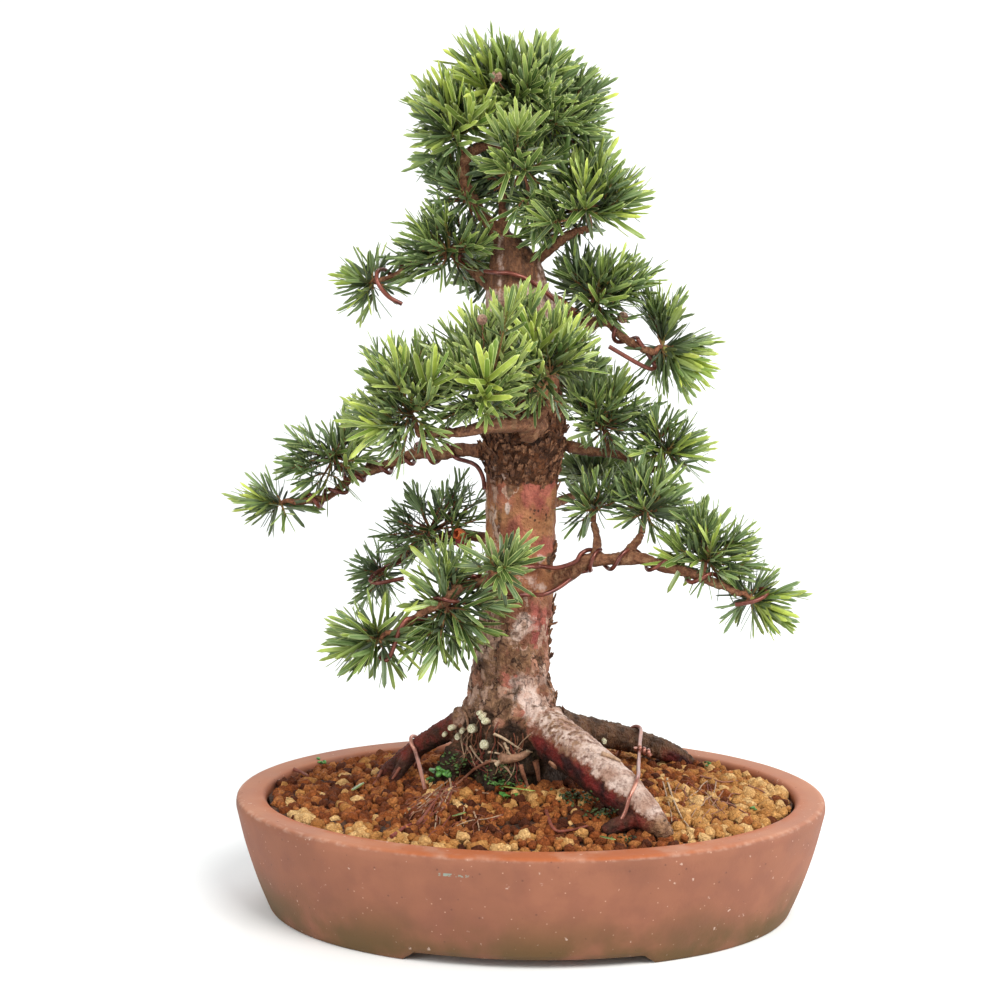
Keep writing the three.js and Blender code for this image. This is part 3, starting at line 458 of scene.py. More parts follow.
def fibreEffect():
    # long fibres that run along Z
    inputs = {"Vector": "Vector", "Scale": 500.0, "Stretch": 0.15, "Low": 0.35, "High": 0.65}
    group = Group("fibre", "ShaderNodeTree", inputs, {"Mask": "Float"})
    inputs = {"Vector": stretched(group), "Scale": group.entry["Scale"], "Detail": 5.0, "Roughness": 0.62}
    strands = group.out("ShaderNodeTexNoise", inputs)
    group.join(strands.spread(group.entry["Low"], group.entry["High"]), group.leave["Mask"])
    return group


def speckleEffect():
    # small round specks, of which a share is kept
    inputs = {"Vector": "Vector", "Scale": 600.0, "Size": 0.25, "Share": 0.3}
    group = Group("speckle", "ShaderNodeTree", inputs, {"Mask": "Float"})
    entry = group.entry
    cells = group.put("ShaderNodeTexVoronoi", {"Vector": entry["Vector"], "Scale": entry["Scale"]}).outputs
    dot = Value(group, cells["Distance"]).spread(entry["Size"], entry["Size"] * 0.6)
    draw = group.out("ShaderNodeSeparateColor", {"Color": Value(group, cells["Color"])})
    group.join(dot * (draw < entry["Share"]), group.leave["Mask"])
    return group


def platesEffect():
    # ragged plates: how near a crack is, and two numbers of each plate's own
    inputs = {"Vector": "Vector", "Scale": 130.0, "Stretch": 0.6, "Width": 0.08}
    outputs = {"Crack": "Float", "Tone": "Float", "Other": "Float"}
    group = Group("plates", "ShaderNodeTree", inputs, outputs)
    tall, scale = stretched(group), group.entry["Scale"]
    inputs = {"Vector": tall, "Scale": scale * 2.2, "Detail": 4.0}
    ripple = group.out("ShaderNodeTexNoise", inputs, "Color")
    off = group.vector("SUBTRACT", ripple, (0.5, 0.5, 0.5))
    off = group.vector("SCALE", off, scale=group.calc("DIVIDE", 1.1, scale))
    inputs = {"Vector": group.vector("ADD", tall, off), "Scale": scale}
    own = group.put("ShaderNodeSeparateColor", {"Color": group.out("ShaderNodeTexVoronoi", inputs, "Color")})
    rims = group.out("ShaderNodeTexVoronoi", inputs, "Distance", feature="DISTANCE_TO_EDGE")
    group.join(rims.spread(group.entry["Width"], 0.0), group.leave["Crack"])
    for index, label in enumerate(("Tone", "Other")):
        group.join(Value(group, own.outputs[index]), group.leave[label])
    return group


effects = {
    "patches": patchesEffect(), "fibre": fibreEffect(), "speckle": speckleEffect(),
    "plates": platesEffect(),
}

floorSettings = {"half": 3.0, "back": 2.2, "bend": 1.0, "height": 4.0, "steps": 16}


def makeFloor(half, back, bend, height, steps):
    # a pale sheet that bends up behind the object
    line = [(-half, 0)]
    for i in range(steps + 1):
        angle = math.pi / 2 * i / steps
        line.append((back - bend + bend * math.sin(angle), bend - bend * math.cos(angle)))
    line.append((back, height))
    points = [(x, y, z) for y, z in line for x in (-half, half)]
    faces = [(2 * i, 2 * i + 1, 2 * i + 3, 2 * i + 2) for i in range(len(line) - 1)]
    finish = Finish("paleFloor", Roughness=0.7)
    material = finish.close(finish.blend(finish.cloud(3.0, 0.3, 0.7), "eff1f0", "f3f4f3"))
    meshObject("floor", points, faces, materials=[material])


makeFloor(**floorSettings)
print("camera, light and floor made")


potSettings = {
    "sides": 240, "ringStep": 4.0, "unevenness": 0.25,
    "footGapHalf": 61, "footSlope": 7, "footHeight": 5, "innerRim": (134.4, 99.4), "outerRim": (150, 115),
    "drainRadius": 9, "drainOffset": 62, "drainSides": 40, "drainHeights": (-5.0, 25.0),
    # corners as half length, half depth, height and how far they are rounded
    "section": [
        (0, 0, 5, 0), (119.5, 88, 5, 1), (122.5, 91, 0, 1.2), (133, 101.5, 0, 1.6),
        (139, 106.6, 14, 12), (146, 112, 36, 8), (150, 115, 53.6, 1.9), (149.4, 114.4, 57.2, 1.5),
        (147, 112, 58, 1.2), (136.4, 101.4, 57.8, 1.6), (134.4, 99.4, 55.8, 1.4),
        (134.4, 99.4, 50, 1.5), (138.9, 103.9, 47, 1.5), (128, 96.5, 19, 5), (119.5, 88, 13, 2),
        (0, 0, 13, 0),
    ],
}
claySettings = {
    "body": ("80503b", "925e47"), "lip": ("9a644c", "ae7a60"), "smear": "77493a", "stain": "a0501f",
    "dirt": "52421f", "worn": "cfb3a0", "scuff": "d9c2b2", "paleSpeck": "cba48c", "darkSpeck": "5a3a30",
    # the one small paint mark on the front: its colour, middle and half size across and up
    "mark": "7fa79c", "markAt": (-36, 48.6), "markHalf": (10, 0.9),
}


def roundedSection(section, step):
    # rounds the corners and adds rings along the long stretches
    line = []
    for index, (*corner, reach) in enumerate(section):
        corner = np.array(corner, float)
        if reach == 0:
            line.append(corner)
            continue
        before, after = (np.array(section[index + side][:3], float) for side in (-1, 1))
        start = corner + unit(before - corner) * reach
        end = corner + unit(after - corner) * reach
        for share in np.linspace(0, 1, 6):
            line.append(mix(mix(start, corner, share), mix(corner, end, share), share))
    dense = [line[0]]
    for a, b in zip(line, line[1:]):
        count = max(1, int(np.linalg.norm(b[1:] - a[1:]) // step))
        dense.extend(mix(a, b, (i + 1) / count) for i in range(count))
    return np.array(dense)


def clayMaterial(settings):
    clay = Finish("unglazedClay", Specular_IOR_Level=0.32)
    cloud = clay.cloud(22.0, 0.3, 0.7)
    darkSpecks = clay.effect("speckle", scale=300.0, size=0.2, share=0.09)
    # a broken smear of old paint under the front lip
    parts = clay.parts(clay.place)
    mark = clay.cloud(520.0, 0.48, 0.56)
    for part, middle, half in zip((0, 2), settings["markAt"], settings["markHalf"]):
        mark *= abs(parts[part] - middle * mm).spread(half * mm, 0.6 * half * mm)
    mark *= parts[1] < 0.0
    body = clay.coat(
        clay.blend(cloud, *settings["body"]),
        (clay.cloud(70.0, 0.42, 0.66) * 0.35, settings["smear"]),
        (clay.painted("lip"), clay.blend(cloud, *settings["lip"])),
        (clay.effect("speckle", scale=480.0, size=0.22, share=0.1) * 0.5, settings["paleSpeck"]),
        (darkSpecks * 0.55, settings["darkSpeck"]),
        # the pale outer rim edge is partly rubbed wear and partly a painted highlight on the rounded edge
        (clay.painted("worn") * clay.cloud(260.0, 0.4, 0.72) * 0.28, settings["worn"]),
        (clay.painted("stain") * clay.cloud(50.0, 0.3, 0.55) * 0.9, settings["stain"]),
        (clay.painted("dirt") * clay.cloud(32.0, 0.3, 0.62) * 0.85, settings["dirt"]),
        (clay.cloud(240.0, 0.69, 0.75) * 0.5, settings["scuff"]),
        (mark * 0.6, settings["mark"]),
    )
    grain = clay.out("ShaderNodeTexNoise", {"Vector": clay.place, "Scale": 900.0, "Detail": 3.0})
    return clay.close(body, cloud.spread(0.0, 1.0, 0.62, 0.78), grain - darkSpecks, 0.3)


def ellipses(middle, halfWidths, halfDepths, heights, sides):
    # level rings, one above another, round an upright line at a place along X
    angles = np.arange(sides) * fullTurn / sides
    x = middle + np.outer(halfWidths, np.cos(angles))
    y, z = np.outer(halfDepths, np.sin(angles)), np.repeat(np.array(heights)[:, None], sides, 1)
    return np.stack([x, y, z], 2)


def makePot(settings):
    section = roundedSection(settings["section"], settings["ringStep"])
    rings = ellipses(0, *section[1:-1].T, settings["sides"])
    # the foot's underside is raised between the feet
    inside = settings["footGapHalf"] - np.abs(rings[..., 0])
    lift = settings["footHeight"] * smooth(0, settings["footSlope"], inside)
    isFoot = rings[..., 2] < settings["footHeight"]
    rings[..., 2] = np.where(isFoot, np.maximum(rings[..., 2], lift), rings[..., 2])
    for point in rings.reshape(-1, 3):
        wobble = noise.noise(Vector(point) * 0.035) * settings["unevenness"]
        point[:2] *= 1 + wobble / max(40, math.hypot(point[0], point[1]))
    points, faces = closedSkin(rings, section[0], section[-1])
    piece = meshObject("potClay", np.array(points) * mm, faces, materials=[clayMaterial(claySettings)])
    holes = []
    for middle in (-settings["drainOffset"], settings["drainOffset"]):
        reach, (low, high) = [settings["drainRadius"]] * 2, settings["drainHeights"]
        rings = ellipses(middle, reach, reach, (low, high), settings["drainSides"])
        holes.append(closedSkin(rings, (middle, 0, low), (middle, 0, high)))
    points, faces = joinShapes(holes)
    drill = meshObject("drill", np.array(points) * mm, faces)
    cut = piece.modifiers.new("drain", "BOOLEAN")
    cut.object, cut.operation, cut.solver = drill, "DIFFERENCE", "EXACT"
    bake(piece)
    bpy.data.objects.remove(drill)
    x, y, z = (pointsOf(piece) / mm).T
    # how far out each point is, as a share of the inner and of the outer rim
    innerShare, outerShare = (
        np.hypot(x / long, y / deep) for long, deep in (settings["innerRim"], settings["outerRim"])
    )
    inner = smooth(1.075, 1.015, innerShare) * smooth(50, 55, z) * (0.3 + 0.7 * smooth(20, -70, y))
    facing = smooth(-50, -90, y) * smooth(56.3, 57.3, z) * smooth(120, 50, np.abs(x - 10))
    paint(
        piece, lip=smooth(56.4, 57.7, z), stain=np.maximum(inner, 0.9 * facing),
        # worn: the rounded outer rim edge, partly wear and partly painted highlight
        worn=smooth(0.975, 0.99, outerShare) * smooth(55.6, 56.6, z),
        dirt=smooth(36, 4, z) * (outerShare > 0.8),
    )
    settle(piece, "clay", "pot")


makePot(potSettings)
print("pot made")


class Limb:
    # a smooth line through points of x, y, z and radius; a share of 0 to 1 runs over the points
    def __init__(self, points):
        self.points = np.array(points, float)
        places = self.points[:, :3]
        self.padded = np.vstack([2 * places[0] - places[1], places, 2 * places[-1] - places[-2]])

    def split(self, share):
        place = min(max(share, 0), 1) * (len(self.points) - 1)
        index = min(int(place), len(self.points) - 2)
        return index, place - index

    def at(self, share):
        index, t = self.split(share)
        p0, p1, p2, p3 = self.padded[index:index + 4]
        d0, d1, d2 = (max(np.dot(b - a, b - a) ** 0.25, 1e-4) for a, b in ((p0, p1), (p1, p2), (p2, p3)))
        m1 = ((p1 - p0) / d0 - (p2 - p0) / (d0 + d1) + (p2 - p1) / d1) * d1
        m2 = ((p2 - p1) / d1 - (p3 - p1) / (d1 + d2) + (p3 - p2) / d2) * d1
        c2 = -3 * p1 + 3 * p2 - 2 * m1 - m2
        c3 = 2 * p1 - 2 * p2 + m1 + m2
        return p1 + m1 * t + c2 * t * t + c3 * t ** 3

    def heading(self, share):
        step = 1e-4
        return unit(self.at(min(share + step, 1)) - self.at(max(share - step, 0)))

    def radius(self, share):
        index, t = self.split(share)
        return mix(self.points[index][3], self.points[index + 1][3], t)

    def frames(self, steps):
        # the middle and two directions across, at each step
        along = self.heading(0)
        across = unit(np.cross(along, (1.0, 0, 0) if abs(along[2]) > 0.9 else (0, 0, 1.0)))
        found = []
        for i in range(steps + 1):
            along = self.heading(i / steps)
            across = unit(across - np.dot(across, along) * along)
            found.append((self.at(i / steps), across, np.cross(along, across)))
        return found

    def skin(self, sides, steps):
        # a closed tube as points and faces
        rings = []
        for i, (middle, across, up) in enumerate(self.frames(steps)):
            angles = [fullTurn * j / sides for j in range(sides)]
            reach = self.radius(i / steps)
            rings.append([middle + reach * (across * math.cos(a) + up * math.sin(a)) for a in angles])
        return closedSkin(rings, self.at(0), self.at(1))


trunkSettings = {
    "sides": 96, "heightStep": 1.5, "voxel": 1.0,
    # rings as x, y, height, half width and half depth
    "rings": [
        (-8, 2, 46, 24, 17), (-8, 1, 59, 27, 19), (-9, 0, 72, 26.5, 19), (-10, 0, 85, 25, 19),
        (-11, 2, 106, 22.4, 19), (-11, 3, 119, 19.3, 17.5), (-10, 4, 136, 17.2, 16.5),
        (-7, 5, 156, 17.2, 16.5), (-7, 5, 177, 16.9, 16.5), (-6, 5, 198, 17.4, 17),
        (-6, 5, 218, 18.1, 17.5), (-5, 5, 238, 19.3, 18.5), (-5, 5, 249, 18.9, 18.6),
        (-6, 4, 262, 18.4, 18), (-7, 3, 284, 18.4, 17.5), (-7, 2, 299, 18.3, 17),
        (-9, 0, 315, 15.1, 14.5), (-10, 0, 325, 13.1, 12.5), (-12, 0, 333, 9.9, 9.5),
        (-16, 0, 342, 4.9, 4.9),
    ],
}
branches = {
    "crownLeader": [
        (-15, 0, 334, 4.4), (-20, 0, 342, 3.8), (-28, 0, 352, 3.4), (-35, 0, 364, 3.4),
        (-36, 0, 375, 3.2), (-31, -2, 382, 2.9), (-21, -5, 385, 2.7), (-9, -8, 383, 2.4),
        (0, -10, 380, 2.2),
    ],
    "crownMiddle": [
        (-15, 1, 336, 3), (-17, 4, 355, 2.3), (-16, 4, 374, 2.1), (-14, 2, 388, 1.9),
        (-12, 1, 398, 1.7),
    ],
    "crownRight": [(-6, 0, 325, 3.6), (8, -4, 335, 2.6), (17, -8, 342, 2.3), (27, -9.5, 345, 2)],
    "upperLeft": [
        (-14, 0, 314, 3.8), (-24, 0, 317, 3), (-34, 4, 325, 2.3), (-41, 5, 330, 2.1),
        (-49, 6, 333, 1.9), (-58, 6, 328, 1.8), (-70, 5, 320, 1.6), (-79, 4, 317, 1.4),
    ],
    "upperRight": [
        (-2, 0, 308, 6), (10, 0, 306, 5.4), (17, 0, 302, 4), (25, 2, 298, 3.2), (35, 4, 298, 2.7),
        (43, 4, 291, 2.3), (51, 2, 286, 2.1), (60, 0, 283, 1.8),
    ],
    "padBranch": [
        (0, -4, 249, 6), (1, -20, 249, 4.9), (-8, -32, 251, 4.1), (-22, -42, 251, 3.6),
        (-35, -50, 249, 2.9), (-48, -54, 249, 2.4), (-56, -55, 248, 2.1),
    ],
    "padFork": [(-2, -24, 250, 2.6), (4, -30, 256, 2.2), (8, -33, 264, 1.8)],
    "leftMiddle": [
        (-12, 6, 233, 5), (-24, 8, 232, 4.1), (-37, 12, 232, 3.8), (-47, 14, 230, 3.5),
        (-59, 14, 230, 3.3), (-67, 14, 227, 3), (-77, 12, 223, 2.8), (-88, 10, 220, 2.8),
        (-95, 8, 215, 2.3), (-104, 5, 208, 2.1), (-113, 2, 207, 1.9), (-121, 0, 206, 1.7),
    ],
    "leftMiddleFork": [(-84, 11, 221, 2.4), (-93, 13, 221, 2.1), (-101, 16, 222, 1.8)],
    "rightMiddle": [
        (4, 5, 237, 4.6), (14, 6, 236, 3.5), (27, 12, 232, 2.6), (37, 14, 231, 2.3),
        (46, 14, 229, 2.1), (51, 14, 224, 2), (58, 12, 223, 1.9), (65, 10, 225, 1.7),
    ],
    "rightLow": [
        (-1, 1, 165, 6), (8, -2, 168, 5), (18, -6, 173, 4.3), (27, -10, 180, 3.7),
        (36, -12, 181, 3.5), (46, -14, 182, 3.2), (56, -16, 182, 3), (64, -18, 179, 3),
        (75, -20, 177, 2.7), (84, -22, 174, 2.5), (93, -24, 171, 2.1), (102, -25, 167, 1.8),
    ],
    "rightLowForkNear": [(31, -11, 181, 2.6), (32, -6, 190, 2.1), (30, -1, 198, 1.8)],
    "rightLowForkFar": [(44, -13.5, 182, 2.6), (50, -14, 189, 2.2), (54, -14, 195, 1.8)],
    "leftLowBack": [
        (-13, 9, 186, 4), (-24, 17, 186, 3), (-38, 28, 186, 2.6), (-53, 38, 181, 2.3),
        (-66, 43, 173, 2), (-74, 45, 168, 1.7),
    ],
    "leftLowFront": [
        (-12, -1, 171, 4.6), (-21, -11, 170, 3.5), (-29, -22, 170, 3), (-37, -32, 168, 2.7),
        (-44, -38, 163, 2.4), (-52, -42, 160, 2.2), (-60, -45, 155, 2), (-68, -47, 149, 1.7),
    ],
    "rosetteTwig": [(-28, -20, 170, 2.4), (-26, -33, 173, 1.9), (-21, -44, 177, 1.6)],
    "backHigh": [(-9, 6, 296, 5), (-10, 22, 300, 3.4), (-15, 36, 304, 2.4), (-20, 46, 306, 1.8)],
    "backMiddle": [(-4, 10, 242, 5), (0, 32, 246, 3.4), (8, 46, 249, 2.4), (13, 55, 251, 1.8)],
    "backLow": [(-5, 10, 197, 5), (6, 32, 200, 3.2), (18, 46, 203, 2.4), (26, 54, 205, 1.8)],
    "arilTwig": [(-28, 20, 186, 1.9), (-32, 17, 187, 1.5), (-35, 14.5, 188, 1.2)],
    "cutStub": [(-2, -6, 247, 5), (-2.4, -20, 245.5, 4.6), (-2.6, -25.5, 244.6, 4.5)],
}
roots = {
    "left": [
        (-16, 0, 98, 12), (-27, 2, 95, 9.6), (-39, 6, 90, 6.8), (-49, 10, 84, 5.3),
        (-61, 14, 75, 4.7), (-71, 16, 66, 4.1), (-80, 18, 57, 3.2),
    ],
    "leftToe": [(-58, 13, 77, 4), (-66, 8, 68, 3.4), (-71, 3, 59, 2.6)],
    "rightFront": [
        (-6, 0, 98, 13.5), (10, -14, 91, 12.4), (29, -34, 82, 11.4), (46, -52, 72, 10.2),
        (58, -66, 64, 7.4), (67, -75, 57, 3.4),
    ],
    "rightFrontStub": [(50, -63, 62, 4.5), (42, -68, 61, 4), (35, -71, 58.5, 3.2)],
    "rightBack": [
        (-2, 8, 95, 11), (20, 24, 86, 7.8), (42, 40, 78, 6.8), (62, 52, 70, 6.2),
        (76, 60, 63, 5.2), (86, 65, 56, 3.4),
    ],
    "frontToe": [(-14, -8, 88, 8), (-18, -14, 74, 7), (-21, -18, 60, 5)],
    "mossyLeft": [(-20, -2, 90, 11), (-30, -2, 82, 9), (-39, -1, 70, 8), (-46, 0, 56, 7)],
}
branchLimbs = {name: Limb(points) for name, points in branches.items()}
rootLimbs = {name: Limb(points) for name, points in roots.items()}
trunkHeights = np.array([ring[2] for ring in trunkSettings["rings"]], float)
trunkTable = np.array(trunkSettings["rings"], float)[:, (0, 1, 3, 4)]


def trunkAt(height):
    # middle x and y, half width and half depth at one or more heights
    return np.stack([np.interp(height, trunkHeights, column) for column in trunkTable.T], -1)


def trunkPoint(height, angle, grow=0):
    x, y, halfWidth, halfDeep = trunkAt(height)
    flutes = 0.1 * max(0, 1 - (height - 46) / 90) * math.cos(3 * angle - 0.8)
    inCollar = max(0, 1 - abs(height - 246) / 16)
    lumps = inCollar * 0.05 * (1 + math.cos(5 * angle + height))
    swell = 1 + flutes + lumps + 0.015 * math.cos(2 * angle + height / 25)
    reach = ((halfWidth * swell + grow) * math.cos(angle), (halfDeep * swell + grow) * math.sin(angle))
    return np.array((x + reach[0], y + reach[1], height))


def trunkSkin(settings):
    heights = np.arange(trunkHeights[0], trunkHeights[-1] + 0.1, settings["heightStep"])
    angles = [fullTurn * j / settings["sides"] for j in range(settings["sides"])]
    rings = [[trunkPoint(height, angle) for angle in angles] for height in heights]
    foot = np.array((*trunkTable[0][:2], heights[0]))
    return closedSkin(rings, foot, np.array((*trunkTable[-1][:2], heights[-1] + 2)))


def fractal(point, size, octaves=3):
    # noise from -1 to 1 whose lumps are about one size across
    return noise.fractal(Vector(point) / size, 1.0, 2.0, octaves, noise_basis="PERLIN_ORIGINAL")


def plateAt(point, size):
    # how deep inside its irregular cell a place is, and the cell's own number, both 0 to 1
    near, hearts = noise.voronoi(Vector(point) / size)
    return min(1.0, (near[1] - near[0]) * 2.2), 0.5 + 0.5 * noise.noise(hearts[0] * 7.31)


woodSettings = {
    "plateDepth": 1.8, "plateSize": 8.0, "corkDepth": 2.6, "grooveDepth": 0.5, "rootWrinkle": 0.5,
    "branchLumps": 0.62, "hollow": (-3, -12, 334), "hollowReach": (5.5, 8, 9), "hollowDepth": 4.0,
    "collar": (219, 262), "recessTop": 93, "recessDepth": 6.5,
    # patches on the front as middle x and height, half width and half height, and strength
    "blotches": {
        "red": [
            (2, 217, 9, 10, 0.9), (9, 221, 5, 8, 0.8), (6, 186, 9, 5, 0.85), (-3, 192, 6, 4, 0.5),
            (3, 147, 4.6, 15, 1.0), (10, 142, 4, 14, 0.6), (-4, 108, 4, 6, 0.5), (-9, 196, 4, 8, 0.6),
            (-13, 214, 5, 9, 0.5), (-13, 121, 7, 5, 0.7), (-2, 100, 5, 5, 0.6),
        ],
        "pale": [
            (-13, 206, 1.6, 3, 0.7), (-20, 206, 2, 24, 0.4), (-15, 222, 1.4, 2, 0.5),
            (2, 180, 4, 3, 0.6), (-3, 170, 6, 3, 0.5), (-4, 147, 5.5, 7, 0.7), (3, 166, 5, 4, 0.5),
            (-26, 132, 4, 5, 0.6), (-2, 114, 8, 9, 0.75), (3, 104, 6, 9, 0.9), (8, 98, 6, 6, 0.75),
            (-32, 108, 3, 6, 0.5), (-1, 117, 8, 6, 0.8), (-22, 160, 3, 7, 0.4), (5, 118, 5, 5, 0.6),
        ],
        "dark": [
            (-25, 126, 4, 4.5, 0.6), (-15, 152, 1.2, 12, 0.4), (-17, 132, 1.2, 9, 0.3),
            (-13, 110, 3.4, 6, 0.5), (-22, 98, 5, 7, 0.75), (-8, 94, 6, 5, 0.75), (-4, 130, 7, 1.3, 0.35),
            (-11, 200, 3, 8, 0.3), (-28, 92, 6, 6, 0.9), (-14, 92, 8, 5, 0.9),
            (-14, 240, 4, 4, 0.7), (8, 234, 4, 4, 0.6), (-8, 229, 4, 3, 0.6), (0, 241, 3, 3, 0.8),
            (-17, 202, 1.3, 9, 0.5), (8, 176, 2, 5, 0.6), (4, 152, 1, 9, 0.5), (-8, 116, 2, 6, 0.5),
        ],
        "knobby": [
            (-6, 130, 11, 7, 1.0), (-20, 122, 6, 9, 0.7), (-17, 106, 8, 10, 0.8), (10, 178, 3.5, 7, 0.8),
            (11, 122, 2.4, 20, 0.9), (-11, 218, 4, 6, 0.9), (-16, 150, 5, 9, 0.5), (14, 104, 4, 8, 0.8),
            (-8, 94, 9, 7, 0.8), (-28, 100, 6, 8, 0.7),
        ],
        "dots": [(1.2, 202.5, 5, 4, 1.0), (7, 198, 5, 12, 0.4), (0, 212, 8, 8, 0.2)],
    },
    # lumps of old bark as a place, reach across and up, and height
    "knobs": [
        (15.5, -3, 229, 4, 5, 3.2), (11, -4, 183, 3, 5, 2.4), (9.5, -6, 132, 3, 5, 2.0),
        (12, -6, 122, 3, 5, 2.4), (13, -6, 112, 3.5, 5, 2.6), (16, -7, 104, 4, 5, 2.2),
        (-33, -3, 103, 4, 4, 2.4), (-38, 2, 97, 5, 4, 2.4), (-25, -9, 127, 3.5, 3.5, 1.6),
        (-6, -15, 131, 4, 3.5, 1.2), (1, -14, 126, 3.5, 3, 1.2), (-14, -12, 138, 3, 3, 1.3),
    ],
}


def nearestLimbs(points):
    # for each point: the root or branch that it is nearest to, its number, its share, its radius
    # there and its middle
    samples = []
    for number, (name, limb) in enumerate((rootLimbs | branchLimbs).items()):
        for share in np.linspace(0, 1, 40):
            samples.append((name, number, share, limb.radius(share), limb.at(share)))
    tree = kdtree.KDTree(len(samples))
    for index, sample in enumerate(samples):
        tree.insert(sample[-1], index)
    tree.balance()
    return [samples[tree.find(point)[1]] for point in points]


def trunkZones(points, onTrunk, jagged, settings):
    # the named patches of the front, and for the other sides the like from noise
    x, y, heights = points.T
    wander = np.array([0.75 * fractal((p[0], p[1], p[2] * 0.7), 6.0, 4) for p in points])
    zones = {name: np.zeros(len(points)) for name in settings["blotches"]}
    for name, rows in settings["blotches"].items():
        for middleX, middleZ, halfWidth, halfHeight, strength in rows:
            off = np.sqrt(((x - middleX) / halfWidth) ** 2 + ((heights - middleZ) / halfHeight) ** 2)
            zones[name] = np.maximum(zones[name], strength * smooth(1.3, 0.7, off + wander))
        zones[name] *= smooth(7, -3, y)
    behind = smooth(-3, 7, y)
    low, lowest = smooth(172, 150, heights), smooth(120, 92, heights)
    one = np.array([fractal((p[0], p[1], p[2] * 0.5), 20.0) for p in points])
    other = np.array([fractal((p[0] + 60, p[1], p[2] * 0.5), 16.0) for p in points])
    for name, values in (
        ("red", behind * (1 - low) * smooth(-0.1, 0.5, one)),
        ("pale", behind * low * smooth(0.0, 0.5, one)), ("pale", behind * 0.7 * smooth(0.35, 0.6, other)),
        ("knobby", (0.25 + 0.75 * behind) * low * smooth(0.0, 0.45, other)),
        ("dark", behind * lowest * smooth(-0.4, 0.3, other)),
    ):
        zones[name] = np.maximum(zones[name], values)
    first, last = settings["collar"]
    zones["cork"] = smooth(first - 1.5, first + 1.5, heights + jagged)
    zones["cork"] *= smooth(last + 2, last - 1, heights - 1.3 * jagged)
    return {name: values * onTrunk for name, values in zones.items()}


